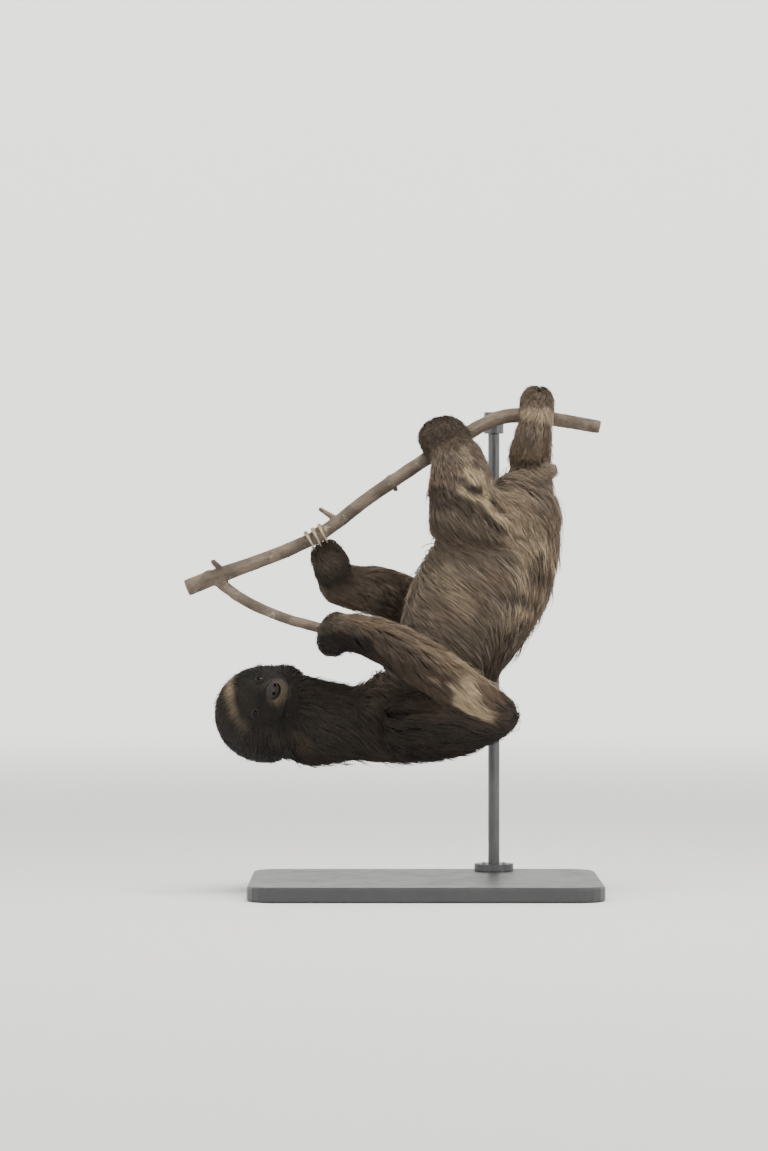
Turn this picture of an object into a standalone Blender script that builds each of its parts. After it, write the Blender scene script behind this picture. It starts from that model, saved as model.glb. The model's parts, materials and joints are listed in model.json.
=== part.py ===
"""Still, life-size model of a three-toed sloth hanging from a forked branch on a display stand.

The animal hangs by its hind feet, head down, in the XZ plane. Its right side faces -Y and its
back faces +X. Lengths are metres, +Z is up, and the origin is the centre of the stand's underside.
"""
import math

import bmesh
import bpy
import numpy as np
from mathutils import Matrix, Vector

GAP = 0.0003
LIMB_SIDES = 12
TRUNK_SIDES = 20
STEPS_PER_STRETCH = 2
CAP_RINGS = 2
END_BULGE = 0.8

ACROSS = Vector((0.0, 1.0, 0.0))
TOWARDS_VIEWER = Vector((0.0, -1.0, 0.0))

# Each station of a fleshy piece is x, y, z, half its width and half its depth, coat included.
TRUNK = (
    (0.119, 0.000, 0.464, 0.052, 0.050),
    (0.100, 0.000, 0.430, 0.066, 0.068),
    (0.080, 0.000, 0.392, 0.074, 0.079),
    (0.058, 0.000, 0.352, 0.077, 0.080),
    (0.038, 0.000, 0.311, 0.073, 0.072),
    (0.014, 0.000, 0.263, 0.067, 0.062),
    (-0.018, 0.000, 0.220, 0.062, 0.064),
    (-0.062, 0.000, 0.204, 0.050, 0.049),
)
NECK = (
    (-0.050, 0.000, 0.204, 0.040, 0.040),
    (-0.092, -0.002, 0.204, 0.045, 0.045),
    (-0.138, -0.004, 0.206, 0.053, 0.056),
)
TAIL = (
    (0.116, -0.014, 0.488, 0.013, 0.013),
    (0.134, -0.017, 0.498, 0.011, 0.011),
    (0.151, -0.018, 0.508, 0.009, 0.009),
)
UPPER_ARM_RIGHT = (
    (-0.014, -0.038, 0.202, 0.046, 0.044),
    (0.040, -0.068, 0.206, 0.036, 0.040),
    (0.090, -0.085, 0.216, 0.023, 0.024),
)
FOREARM_RIGHT = (
    (0.090, -0.087, 0.219, 0.020, 0.021),
    (0.032, -0.097, 0.254, 0.027, 0.028),
    (-0.036, -0.089, 0.298, 0.026, 0.028),
    (-0.090, -0.072, 0.316, 0.022, 0.024),
)
UPPER_ARM_LEFT = (
    (-0.024, 0.040, 0.226, 0.042, 0.040),
    (0.013, 0.078, 0.270, 0.034, 0.036),
    (0.048, 0.104, 0.311, 0.027, 0.028),
)
FOREARM_LEFT = (
    (0.046, 0.105, 0.313, 0.023, 0.024),
    (0.000, 0.098, 0.340, 0.028, 0.030),
    (-0.054, 0.070, 0.362, 0.028, 0.031),
    (-0.107, 0.044, 0.370, 0.025, 0.027),
)
THIGH_RIGHT = (
    (0.096, -0.030, 0.442, 0.045, 0.045),
    (0.068, -0.050, 0.443, 0.042, 0.043),
    (0.041, -0.062, 0.449, 0.037, 0.039),
)
SHANK_RIGHT = (
    (0.043, -0.062, 0.449, 0.032, 0.032),
    (0.045, -0.055, 0.484, 0.035, 0.038),
    (0.042, -0.041, 0.522, 0.025, 0.029),
)
THIGH_LEFT = (
    (0.114, 0.024, 0.436, 0.042, 0.040),
    (0.122, 0.034, 0.464, 0.040, 0.038),
    (0.128, 0.036, 0.492, 0.031, 0.030),
)
SHANK_LEFT = (
    (0.128, 0.036, 0.488, 0.026, 0.026),
    (0.126, 0.010, 0.522, 0.026, 0.026),
    (0.130, -0.022, 0.548, 0.022, 0.023),
)

# The head is modelled upright, looking along -Y, then laid with its crown to -X, raised by
# CROWN_LIFT, and its face turned to -Y and upwards by FACE_LIFT.
HEAD_CENTRE = Vector((-0.188, -0.006, 0.216))
FACE_LIFT = math.radians(24.0)
CROWN_LIFT = math.radians(6.0)
HEAD_FORMS = (
    # centre x, y, z and half sizes x, y, z: skull, face disc, two cheeks, muzzle, chin
    (0.000, 0.004, 0.003, 0.060, 0.057, 0.062),
    (0.000, -0.021, -0.004, 0.050, 0.036, 0.048),
    (-0.026, -0.016, -0.016, 0.031, 0.034, 0.034),
    (0.026, -0.016, -0.016, 0.031, 0.034, 0.034),
    (0.000, -0.054, -0.011, 0.024, 0.022, 0.020),
    (0.000, -0.043, -0.024, 0.023, 0.022, 0.017),
)
HEAD_VOXEL = 0.004
HEAD_SMOOTHING = 5
HEAD_KEPT = 0.10
EYE_RADIUS = 0.0070
EYE_PLACE = Vector((0.0205, -0.0455, 0.0125))
NOSE_HALF_SIZE = (0.0100, 0.0062, 0.0070)
NOSE_PLACE = Vector((0.0, -0.0730, -0.0050))

# Perch: x, y, z and radius along the branch and along the lower arm of its fork.
PERCH_MAIN = (
    (-0.286, 0.000, 0.366, 0.0100),
    (-0.250, 0.000, 0.380, 0.0096),
    (-0.203, 0.000, 0.397, 0.0084),
    (-0.130, 0.000, 0.427, 0.0080),
    (-0.076, 0.000, 0.468, 0.0080),
    (0.000, 0.000, 0.520, 0.0082),
    (0.066, 0.000, 0.560, 0.0084),
    (0.098, 0.000, 0.572, 0.0085),
    (0.133, 0.000, 0.572, 0.0084),
    (0.210, 0.000, 0.559, 0.0078),
)
PERCH_FORK = (
    (-0.254, 0.000, 0.379, 0.0070),
    (-0.226, -0.005, 0.357, 0.0067),
    (-0.196, -0.012, 0.341, 0.0064),
    (-0.155, -0.024, 0.326, 0.0062),
    (-0.110, -0.036, 0.315, 0.0060),
    (-0.086, -0.040, 0.311, 0.0058),
)
BARK_STEPS = 2

# Grips: where a paw holds the perch and how its three claws lie.
WRIST_SHARE = 0.86
CLAW_THICK = 0.0036
CLAW_TIP = 0.0007
CLAW_POINTS = 8
CLAWS_PER_PAW = 3

BASE_LENGTH = 0.420
BASE_DEPTH = 0.320
BASE_THICK = 0.018
BASE_CORNER = 0.035
BASE_EDGE = 0.003
ROD_PLACE = Vector((0.086, 0.130, 0.0))
ROD_RADIUS = 0.007
FLANGE_RADIUS = 0.024
FLANGE_THICK = 0.008
COLLAR_RADIUS = 0.012
COLLAR_HEIGHT = 0.026
ARM_RADIUS = 0.0055
ARM_LEVEL = 0.5688
ROUND_SIDES = 24

COLOURS = {
    "fur_back": ((0.165, 0.130, 0.100), 0.95, 0.0),
    "fur_dark": ((0.045, 0.037, 0.032), 0.95, 0.0),
    "fur_limb": ((0.120, 0.095, 0.072), 0.95, 0.0),
    "eye": ((0.020, 0.012, 0.008), 0.08, 0.0),
    "nose": ((0.025, 0.020, 0.018), 0.45, 0.0),
    "claw": ((0.330, 0.270, 0.180), 0.40, 0.0),
    "bark": ((0.200, 0.170, 0.140), 0.85, 0.0),
    "stand_paint": ((0.050, 0.050, 0.052), 0.50, 0.0),
    "stand_steel": ((0.420, 0.420, 0.430), 0.35, 1.0),
}


def clear_scene():
    for scene_object in list(bpy.data.objects):
        bpy.data.objects.remove(scene_object, do_unlink=True)


def make_collection(name):
    collection = bpy.data.collections.new(name)
    bpy.context.scene.collection.children.link(collection)
    return collection


clear_scene()
PARTS = make_collection("three_toed_sloth")
CUTTERS = make_collection("cutters")
MATERIALS = {}
CUTTER_MESHES = {}


def material(name):
    if name not in MATERIALS:
        colour, roughness, metallic = COLOURS[name]
        made = bpy.data.materials.new(name)
        made.use_nodes = True
        shader = made.node_tree.nodes["Principled BSDF"]
        shader.inputs["Base Color"].default_value = (*colour, 1.0)
        shader.inputs["Roughness"].default_value = roughness
        shader.inputs["Metallic"].default_value = metallic
        MATERIALS[name] = made
    return MATERIALS[name]


def own_material(name, base):
    """A material of the sub-part's own, copied from the base finish."""
    copy = material(base).copy()
    copy.name = name
    return copy


def add_part(name, mesh, finish):
    part = bpy.data.objects.new(name, mesh)
    PARTS.objects.link(part)
    mesh.materials.clear()
    mesh.materials.append(own_material(name + "_finish", finish))
    mesh.shade_smooth()
    return part


def add_cutter(name, mesh):
    cutter = bpy.data.objects.new("cutter_" + name, mesh)
    CUTTERS.objects.link(cutter)
    cutter.hide_render = True
    cutter.display_type = "WIRE"
    return cutter


def cut(part, names):
    for name in names:
        boolean = part.modifiers.new("clear_of_" + name, "BOOLEAN")
        boolean.operation = "DIFFERENCE"
        boolean.solver = "EXACT"
        boolean.object = CUTTER_MESHES[name]


def smooth_run(stations, steps):
    """A smooth run through the stations, with the given steps in each stretch between two."""
    rows = np.array(stations, dtype=float)
    rows = np.vstack((2 * rows[0] - rows[1], rows, 2 * rows[-1] - rows[-2]))
    run = []
    for first in range(len(rows) - 3):
        before, start, end, after = rows[first:first + 4]
        for step in range(steps):
            t = step / steps
            run.append(0.5 * (2 * start + (end - before) * t
                              + (2 * before - 5 * start + 4 * end - after) * t ** 2
                              + (3 * start - before - 3 * end + after) * t ** 3))
    run.append(rows[-2])
    return run


def rounded_end(section, outward, reach):
    """The rings that close a form beyond its end section, largest first."""
    centre, across, deep, half_width, half_depth = section
    cap = []
    for ring in range(1, CAP_RINGS + 1):
        angle = 0.5 * math.pi * ring / (CAP_RINGS + 1)
        shrink = math.cos(angle)
        moved = centre + outward * (reach * math.sin(angle))
        cap.append((moved, across, deep, half_width * shrink, half_depth * shrink))
    return cap


def sections_along(run, width_axis, grow):
    """Each section's centre, axes and half sizes, and the direction of the run at each."""
    centres = [Vector(row[:3]) for row in run]
    last = len(run) - 1
    alongs = [(centres[min(i + 1, last)] - centres[max(i - 1, 0)]).normalized()
              for i in range(len(run))]
    across = width_axis
    sections = []
    for index in range(last, -1, -1):
        along = alongs[index]
        across = (across - along * across.dot(along)).normalized()
        half_width = run[index][3] + grow
        half_depth = run[index][4] + grow
        sections.append((centres[index], across, along.cross(across), half_width, half_depth))
    return sections[::-1], alongs


def ring_of(bm, section, sides):
    centre, across, deep, half_width, half_depth = section
    ring = []
    for side in range(sides):
        angle = 2 * math.pi * side / sides
        offset = across * (half_width * math.cos(angle)) + deep * (half_depth * math.sin(angle))
        ring.append(bm.verts.new(centre + offset))
    return ring


def join_rings(bm, first, second):
    for side in range(len(first)):
        after = (side + 1) % len(first)
        bm.faces.new((first[side], first[after], second[after]))
        bm.faces.new((first[side], second[after], second[side]))


def close_ring(bm, ring, tip):
    pole = bm.verts.new(tip)
    for side in range(len(ring)):
        bm.faces.new((ring[side], ring[(side + 1) % len(ring)], pole))


def mesh_from(bm, name):
    mesh = bpy.data.meshes.new(name)
    bm.to_mesh(mesh)
    bm.free()
    return mesh


def loft_mesh(name, stations, width_axis, sides, grow=0.0):
    """A closed form of elliptical sections along the stations, with rounded ends."""
    run = smooth_run(stations, STEPS_PER_STRETCH)
    sections, alongs = sections_along(run, width_axis, grow)
    first, last = sections[0], sections[-1]
    first_reach = END_BULGE * min(first[3:])
    last_reach = END_BULGE * min(last[3:])
    start_cap = rounded_end(first, -alongs[0], first_reach)
    end_cap = rounded_end(last, alongs[-1], last_reach)
    bm = bmesh.new()
    rings = [ring_of(bm, section, sides) for section in start_cap[::-1] + sections + end_cap]
    for ring, after in zip(rings, rings[1:]):
        join_rings(bm, ring, after)
    close_ring(bm, rings[0], first[0] - alongs[0] * first_reach)
    close_ring(bm, rings[-1], last[0] + alongs[-1] * last_reach)
    bmesh.ops.recalc_face_normals(bm, faces=bm.faces)
    return mesh_from(bm, name)


def flesh(name, stations, finish, width_axis=ACROSS, sides=LIMB_SIDES, clear_of=()):
    """A fleshy piece, cut back where it meets the pieces it grows from or lies against."""
    part = add_part(name, loft_mesh(name, stations, width_axis, sides), finish)
    cut(part, clear_of)
    grown = loft_mesh("cutter_" + name, stations, width_axis, sides, GAP)
    CUTTER_MESHES[name] = add_cutter(name, grown)
    return part


def tube_mesh(name, stations, grow=0.0):
    """A closed round tube along x, y, z, radius stations."""
    curve = bpy.data.curves.new(name, "CURVE")
    curve.dimensions = "3D"
    curve.bevel_depth = 1.0
    curve.bevel_resolution = 2
    curve.use_fill_caps = True
    spline = curve.splines.new("POLY")
    spline.points.add(len(stations) - 1)
    for point, row in zip(spline.points, stations):
        point.co = (row[0], row[1], row[2], 1.0)
        point.radius = row[3] + grow
    holder = bpy.data.objects.new(name, curve)
    CUTTERS.objects.link(holder)
    bpy.context.view_layer.update()
    evaluated = holder.evaluated_get(bpy.context.evaluated_depsgraph_get())
    mesh = bpy.data.meshes.new_from_object(evaluated)
    bpy.data.objects.remove(holder, do_unlink=True)
    bpy.data.curves.remove(curve)
    bm = bmesh.new()
    bm.from_mesh(mesh)
    bmesh.ops.remove_doubles(bm, verts=bm.verts, dist=0.00001)
    bmesh.ops.triangulate(bm, faces=bm.faces, quad_method="FIXED")
    bmesh.ops.recalc_face_normals(bm, faces=bm.faces)
    bm.to_mesh(mesh)
    bm.free()
    return mesh


def make_perch():
    main_run = smooth_run(PERCH_MAIN, BARK_STEPS)
    fork_run = smooth_run(PERCH_FORK, BARK_STEPS)
    add_part("perch_main", tube_mesh("perch_main", main_run), "bark")
    CUTTER_MESHES["perch_main"] = add_cutter("perch_main", tube_mesh("grown_main", main_run, GAP))
    fork = add_part("perch_fork", tube_mesh("perch_fork", fork_run), "bark")
    cut(fork, ("perch_main",))
    CUTTER_MESHES["perch_fork"] = add_cutter("perch_fork", tube_mesh("grown_fork", fork_run, GAP))


def branch_point(stations, x):
    """The point, direction and radius of a branch at the given x."""
    run = smooth_run(stations, 12)
    for first, second in zip(run, run[1:]):
        if first[0] <= x <= second[0]:
            share = (x - first[0]) / (second[0] - first[0])
            row = first + (second - first) * share
            along = Vector((second - first)[:3]).normalized()
            return Vector(row[:3]), along, row[3]
    raise ValueError("the branch doesn't reach x = %.3f" % x)


class Grip:
    """A hooked paw: a circle round the branch, which the paw and its claws follow."""

    def __init__(self, stations, x, facing, hook_radius):
        held, self.along, branch_radius = branch_point(stations, x)
        self.facing = (facing - self.along * facing.dot(self.along)).normalized()
        self.up = self.along.cross(self.facing)
        if self.up.z < 0:
            self.up.negate()
        self.radius = hook_radius
        drop = hook_radius - CLAW_THICK - branch_radius - GAP
        self.centre = held - self.up * drop

    def point(self, degrees, radius=None, sideways=0.0):
        angle = math.radians(degrees)
        reach = self.radius if radius is None else radius
        return (self.centre + self.facing * (reach * math.cos(angle))
                + self.up * (reach * math.sin(angle)) + self.along * sideways)


def make_paw(name, limb, wrist, grip, flesh_stations, claw_spread, claw_turn, perch_name, finish):
    """The paw's flesh runs from the wrist up round the hook, and three claws carry it on."""
    stations = []
    if wrist:
        stations.append((*wrist[:3], wrist[3] * WRIST_SHARE, wrist[4] * WRIST_SHARE))
    for degrees, radius, half_width, half_depth in flesh_stations:
        stations.append((*grip.point(degrees, radius), half_width, half_depth))
    flesh(name, stations, finish, width_axis=grip.along, clear_of=(limb, perch_name))
    start, end = claw_turn
    for number in range(CLAWS_PER_PAW):
        sideways = (number - 1) * claw_spread
        run = []
        for step in range(CLAW_POINTS):
            t = step / (CLAW_POINTS - 1)
            place = grip.point(start + (end - start) * t, sideways=sideways * (1.0 - 0.15 * t))
            thick = CLAW_TIP + (CLAW_THICK - CLAW_TIP) * (1.0 - t ** 2.2)
            run.append((*place, thick))
        claw_name = "claw_%s_%d" % (name, number + 1)
        claw = add_part(claw_name, tube_mesh(claw_name, run), "claw")
        cut(claw, (name, perch_name))


def make_body():
    flesh("trunk", TRUNK, "fur_back", sides=TRUNK_SIDES)
    flesh("neck", NECK, "fur_dark", sides=TRUNK_SIDES, clear_of=("trunk",))
    flesh("tail", TAIL, "fur_limb", clear_of=("trunk",))


def make_arms():
    flesh("upper_arm_right", UPPER_ARM_RIGHT, "fur_limb", clear_of=("trunk", "neck"))
    flesh("forearm_right", FOREARM_RIGHT, "fur_limb", clear_of=("upper_arm_right", "trunk"))
    flesh("upper_arm_left", UPPER_ARM_LEFT, "fur_limb", clear_of=("trunk", "neck"))
    flesh("forearm_left", FOREARM_LEFT, "fur_limb", clear_of=("upper_arm_left", "trunk"))
    right = Grip(PERCH_FORK, -0.103, TOWARDS_VIEWER, 0.022)
    make_paw("hand_right", "forearm_right", None, right,
             ((-10, 0.027, 0.018, 0.016), (25, 0.028, 0.020, 0.018), (65, 0.026, 0.017, 0.014)),
             0.010, (45, 215), "perch_fork", "fur_dark")
    left = Grip(PERCH_MAIN, -0.130, ACROSS, 0.022)
    make_paw("hand_left", "forearm_left", FOREARM_LEFT[-1], left,
             ((-60, 0.030, 0.024, 0.020), (-15, 0.025, 0.019, 0.015)),
             0.010, (-25, 190), "perch_main", "fur_dark")


def make_legs():
    flesh("thigh_right", THIGH_RIGHT, "fur_limb", clear_of=("trunk",))
    flesh("shank_right", SHANK_RIGHT, "fur_limb", clear_of=("thigh_right", "trunk", "perch_main"))
    flesh("thigh_left", THIGH_LEFT, "fur_limb", clear_of=("trunk", "thigh_right"))
    flesh("shank_left", SHANK_LEFT, "fur_limb", clear_of=("thigh_left", "trunk", "perch_main"))
    right = Grip(PERCH_MAIN, 0.028, TOWARDS_VIEWER, 0.020)
    make_paw("foot_right", "shank_right", SHANK_RIGHT[-1], right,
             ((0, 0.030, 0.026, 0.020), (45, 0.028, 0.025, 0.019), (85, 0.027, 0.021, 0.015)),
             0.010, (70, 215), "perch_main", "fur_limb")
    left = Grip(PERCH_MAIN, 0.133, TOWARDS_VIEWER, 0.020)
    make_paw("foot_left", "shank_left", SHANK_LEFT[-1], left,
             ((0, 0.030, 0.020, 0.019), (45, 0.031, 0.019, 0.018), (85, 0.030, 0.017, 0.016)),
             0.009, (70, 215), "perch_main", "fur_limb")


def head_matrix():
    """Local +Z is the crown, local -Y is the way the face looks."""
    crown = Vector((-math.cos(CROWN_LIFT), 0.0, math.sin(CROWN_LIFT)))
    lifted = Vector((0.0, -math.cos(FACE_LIFT), math.sin(FACE_LIFT)))
    back = -(lifted - crown * lifted.dot(crown)).normalized()
    left = back.cross(crown)
    turn = Matrix((left, back, crown)).transposed().to_4x4()
    return Matrix.Translation(HEAD_CENTRE) @ turn


def ellipsoid_mesh(name, place, half_size, grow=0.0, segments=12, rings=7):
    bm = bmesh.new()
    bmesh.ops.create_uvsphere(bm, u_segments=segments, v_segments=rings, radius=1.0)
    scale = Matrix.Diagonal([size + grow for size in half_size]).to_4x4()
    bmesh.ops.transform(bm, matrix=Matrix.Translation(place) @ scale, verts=bm.verts)
    return mesh_from(bm, name)


def face_piece(name, place, half_size, finish):
    part = add_part(name, ellipsoid_mesh(name, place, half_size), finish)
    part.matrix_world = head_matrix()
    cutter = add_cutter(name, ellipsoid_mesh("cutter_" + name, place, half_size, GAP))
    cutter.matrix_world = head_matrix()
    CUTTER_MESHES[name] = cutter


def make_head():
    bm = bmesh.new()
    for x, y, z, half_x, half_y, half_z in HEAD_FORMS:
        shape = Matrix.Translation((x, y, z)) @ Matrix.Diagonal((half_x, half_y, half_z, 1.0))
        bmesh.ops.create_uvsphere(bm, u_segments=24, v_segments=16, radius=1.0, matrix=shape)
    head = add_part("head", mesh_from(bm, "head"), "fur_dark")
    head.matrix_world = head_matrix()
    remesh = head.modifiers.new("one_form", "REMESH")
    remesh.mode = "VOXEL"
    remesh.voxel_size = HEAD_VOXEL
    soften = head.modifiers.new("soften", "SMOOTH")
    soften.factor = 0.5
    soften.iterations = HEAD_SMOOTHING
    thin = head.modifiers.new("thin_out", "DECIMATE")
    thin.ratio = HEAD_KEPT
    eye_size = (EYE_RADIUS, EYE_RADIUS, EYE_RADIUS)
    mirrored = Vector((-EYE_PLACE.x, EYE_PLACE.y, EYE_PLACE.z))
    face_piece("eye_left", EYE_PLACE, eye_size, "eye")
    face_piece("eye_right", mirrored, eye_size, "eye")
    face_piece("nose", NOSE_PLACE, NOSE_HALF_SIZE, "nose")
    cut(head, ("neck", "eye_left", "eye_right", "nose"))


def cylinder_mesh(name, radius, length, grow=0.0):
    """A cylinder along Z, from 0 to its length."""
    bm = bmesh.new()
    middle = Matrix.Translation((0.0, 0.0, 0.5 * length))
    bmesh.ops.create_cone(bm, cap_ends=True, segments=ROUND_SIDES, radius1=radius + grow,
                          radius2=radius + grow, depth=length + 2 * grow, matrix=middle)
    return mesh_from(bm, name)


def make_base():
    bm = bmesh.new()
    size = Matrix.Diagonal((BASE_LENGTH, BASE_DEPTH, BASE_THICK, 1.0))
    bmesh.ops.create_cube(bm, size=1.0, matrix=Matrix.Translation((0, 0, 0.5 * BASE_THICK)) @ size)
    upright = [edge for edge in bm.edges if abs(edge.verts[0].co.z - edge.verts[1].co.z) > GAP]
    bmesh.ops.bevel(bm, geom=upright, offset=BASE_CORNER, segments=5, profile=0.5, affect="EDGES")
    base = add_part("stand_base", mesh_from(bm, "stand_base"), "stand_paint")
    base.data.shade_flat()
    edge = base.modifiers.new("soft_edge", "BEVEL")
    edge.width = BASE_EDGE
    edge.segments = 2
    edge.limit_method = "ANGLE"


def make_stand():
    make_base()
    flange = add_part("stand_flange", cylinder_mesh("stand_flange", FLANGE_RADIUS, FLANGE_THICK),
                      "stand_steel")
    flange.location = ROD_PLACE + Vector((0, 0, BASE_THICK + GAP))
    rod_foot = BASE_THICK + FLANGE_THICK + 2 * GAP
    collar_foot = ARM_LEVEL - 0.5 * COLLAR_HEIGHT
    rod_length = collar_foot - GAP - rod_foot
    rod = add_part("stand_rod", cylinder_mesh("stand_rod", ROD_RADIUS, rod_length), "stand_steel")
    rod.location = ROD_PLACE + Vector((0, 0, rod_foot))
    collar = add_part("stand_collar", cylinder_mesh("stand_collar", COLLAR_RADIUS, COLLAR_HEIGHT),
                      "stand_steel")
    collar.location = ROD_PLACE + Vector((0, 0, collar_foot))
    grown = cylinder_mesh("cutter_collar", COLLAR_RADIUS, COLLAR_HEIGHT, GAP)
    CUTTER_MESHES["stand_collar"] = add_cutter("stand_collar", grown)
    CUTTER_MESHES["stand_collar"].location = collar.location
    arm = add_part("stand_arm", cylinder_mesh("stand_arm", ARM_RADIUS, ROD_PLACE.y), "stand_steel")
    arm.rotation_euler = (math.radians(-90.0), 0.0, 0.0)
    arm.location = (ROD_PLACE.x, 0.0, ARM_LEVEL)
    cut(arm, ("stand_collar", "perch_main"))


make_perch()
make_body()
make_head()
make_arms()
make_legs()
make_stand()
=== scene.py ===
"""Looks of a still, life-size three-toed sloth: its skin, coat, face and claws, the forked branch
that it hangs from, and the display stand under it.

The animal hangs by its hind feet, head down, in the XZ plane. Its right side faces -Y and its
back faces +X. All lengths are metres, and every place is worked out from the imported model's nodes.
"""

import json
import math
from contextlib import contextmanager

import bmesh
import bpy
import numpy as np
from mathutils import Matrix, Vector, kdtree
from mathutils.bvhtree import BVHTree

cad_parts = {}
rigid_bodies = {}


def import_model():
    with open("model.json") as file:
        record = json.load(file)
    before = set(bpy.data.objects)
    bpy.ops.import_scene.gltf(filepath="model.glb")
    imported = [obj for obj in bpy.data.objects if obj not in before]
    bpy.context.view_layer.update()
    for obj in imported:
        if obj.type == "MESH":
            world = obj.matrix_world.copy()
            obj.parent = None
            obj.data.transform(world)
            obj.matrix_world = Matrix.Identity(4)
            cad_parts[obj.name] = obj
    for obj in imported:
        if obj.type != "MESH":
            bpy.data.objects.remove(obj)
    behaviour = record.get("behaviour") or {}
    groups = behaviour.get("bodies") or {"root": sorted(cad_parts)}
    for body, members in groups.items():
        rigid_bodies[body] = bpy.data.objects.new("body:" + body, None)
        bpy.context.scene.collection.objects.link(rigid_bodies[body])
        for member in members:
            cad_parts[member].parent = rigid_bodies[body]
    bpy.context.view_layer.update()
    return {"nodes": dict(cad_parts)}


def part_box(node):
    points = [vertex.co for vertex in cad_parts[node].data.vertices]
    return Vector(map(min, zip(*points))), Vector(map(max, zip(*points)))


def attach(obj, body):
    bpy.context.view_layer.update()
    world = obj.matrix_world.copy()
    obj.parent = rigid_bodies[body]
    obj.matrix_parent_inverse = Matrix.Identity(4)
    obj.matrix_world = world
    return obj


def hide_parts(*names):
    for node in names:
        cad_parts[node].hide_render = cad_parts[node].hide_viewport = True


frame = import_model()
NODES = frame["nodes"]

UP = np.array((0.0, 0.0, 1.0))
SIDES = ("left", "right")
EYE_RADIUS = (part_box("eye_left")[1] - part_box("eye_left")[0]).x / 2.0
LIMB_PARTS = ("upper_arm", "forearm", "hand", "thigh", "shank", "foot")
FLESH = ("head", "neck", "trunk", "tail") + tuple(
    part + "_" + side for part in LIMB_PARTS for side in SIDES)
PAWS = ("hand_left", "hand_right", "foot_left", "foot_right")
CLAWS_PER_PAW = 3

# The coat on each kind of part, and on the face: how deep it lies over the skin, how long a lock
# of hair is and how wide the lock is at its root.
COAT = {"head": (0.0065, 0.017, 0.0011), "neck": (0.0120, 0.032, 0.0018),
        "trunk": (0.0130, 0.040, 0.0018), "tail": (0.0040, 0.021, 0.0013),
        "upper_arm": (0.0100, 0.034, 0.0018), "forearm": (0.0085, 0.031, 0.0017),
        "hand": (0.0042, 0.012, 0.0011), "thigh": (0.0110, 0.031, 0.0017),
        "shank": (0.0075, 0.020, 0.0014), "foot": (0.0050, 0.013, 0.0011)}
FACE_COAT = (0.0016, 0.0052, 0.00065)
DEPTH, LENGTH, WIDTH = 0, 1, 2
# How much further than its depth the coat is puffed out on some parts, along X or its normal.
PUFF_FORWARD = {"thigh_right": 0.0095, "shank_right": 0.0055, "foot_right": 0.0045,
                "foot_left": 0.0020}
PUFF_ROUND = {"foot_right": 0.0028, "tail": 0.0030, "foot_left": 0.0012, "hand_right": 0.0015}
TAIL_SHORTER = 0.0060

# The skin is fused from the parts at this grain; shares in the parts blend over PART_BLEND.
SKIN_VOXEL, SKIN_FUSE, SKIN_SMOOTHING = 0.00285, 0.0015, 10
PART_BLEND = 0.011

LOCK_FLATNESS = 0.42
LOCKS_PER_CLUMP = 9
STRAY_SHARE, STRAY_LIFT = 0.05, 1.45
CLUMP_REACH, CLUMP_TONE, CLUMP_HOLD = 0.014, 0.48, (0.6, 1.25)
LENGTH_SPREAD, WIDTH_SPREAD = (0.72, 1.18), (0.75, 1.2)
LOWEST_LIFT, LIFT_SPREAD = 0.74, 0.46
HEADING_SPREAD, RING_SPREAD = 0.16, 0.10
# How much closer together the roots are where the locks are narrow.
CROWDING = 1.7
# How far the marks are drawn out along a lock, and how coarse their edges are.
MARK_DRAG, MARK_GRAIN = 0.25, 0.012
BAKE_PATCH = 0.003
# How close to the branch, and to a claw, a lock may have its root.
BRANCH_REACH, CLAW_REACH = 0.0035, 0.0010

SLOPE_OF_NOSE = math.radians(57.5)
EYE_LOOK = (0.42, 0.88, 0.20)
# The eyeball and the hollow behind it, as shares of the eye's own radius.
EYEBALL_SHARE, HOLLOW_SHARE = 0.985, 0.70
EYE_OPENING = (0.0047, 0.0034)
LID_THICKNESS = 0.0003
# The opening between the lids, as angles on the eyeball: to the sides, up and down; and how far
# back the lids reach.
LID_SIDE, LID_UP, LID_DOWN, LID_BACK = 0.74, 0.43, 0.50, 1.62
# Along a lid from its edge: the share of the way back, and the height over the eyeball.
LID_PROFILE = ((0.0, -0.0002), (0.015, 0.0004), (0.04, 0.0009), (0.08, 0.0012), (0.14, 0.0012),
               (0.20, 0.0009), (0.26, 0.0005), (0.33, 0.0006), (0.42, 0.0008), (0.54, 0.0007),
               (0.68, 0.0003), (0.84, -0.0004), (1.0, -0.0010))
MOUTH_HEIGHT, MOUTH_CURVE, MOUTH_HALF_WIDTH = -0.0345, 11.0, 0.021
NOSE_BARE = (0.0122, 0.016, 0.0092)
# How high or deep some forms of the face are, where they are strongest, and how wide they are.
SOCKET_DEPTH, SOCKET_AT, SOCKET_WIDTH = 0.0018, 3.0, 1.2
GROOVE_DEPTH, GROOVE_WIDTH = 0.0028, 0.0011
LIP_HEIGHT, LIP_AT, LIP_WIDTH = 0.0005, 0.0030, 0.0014
COLLAR_HEIGHT, COLLAR_AT, COLLAR_WIDTH = 0.0024, 0.0078, 0.0034
# How far the short-haired face and the light muzzle reach to the sides and up and down, and how
# far under the eyes their middles are.
FACE_REACH, FACE_DROP = (0.040, 0.037), 0.010
MUZZLE_REACH, MUZZLE_DROP = (0.019, 0.014), 0.023
# The pale band over the brow: the height of its middle over the eyes, how far it drops at its
# ends, how far it reaches to each side, and how it leans and tilts to the animal's left.
BROW_HEIGHT, BROW_DROP, BROW_REACH = 0.0333, 0.0100, 0.038
BROW_LEAN, BROW_TILT = 0.004, 0.22
BROW_STRENGTH, BROW_WIDTH, MUZZLE_STRENGTH = 0.86, 0.0040, 0.18
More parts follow.
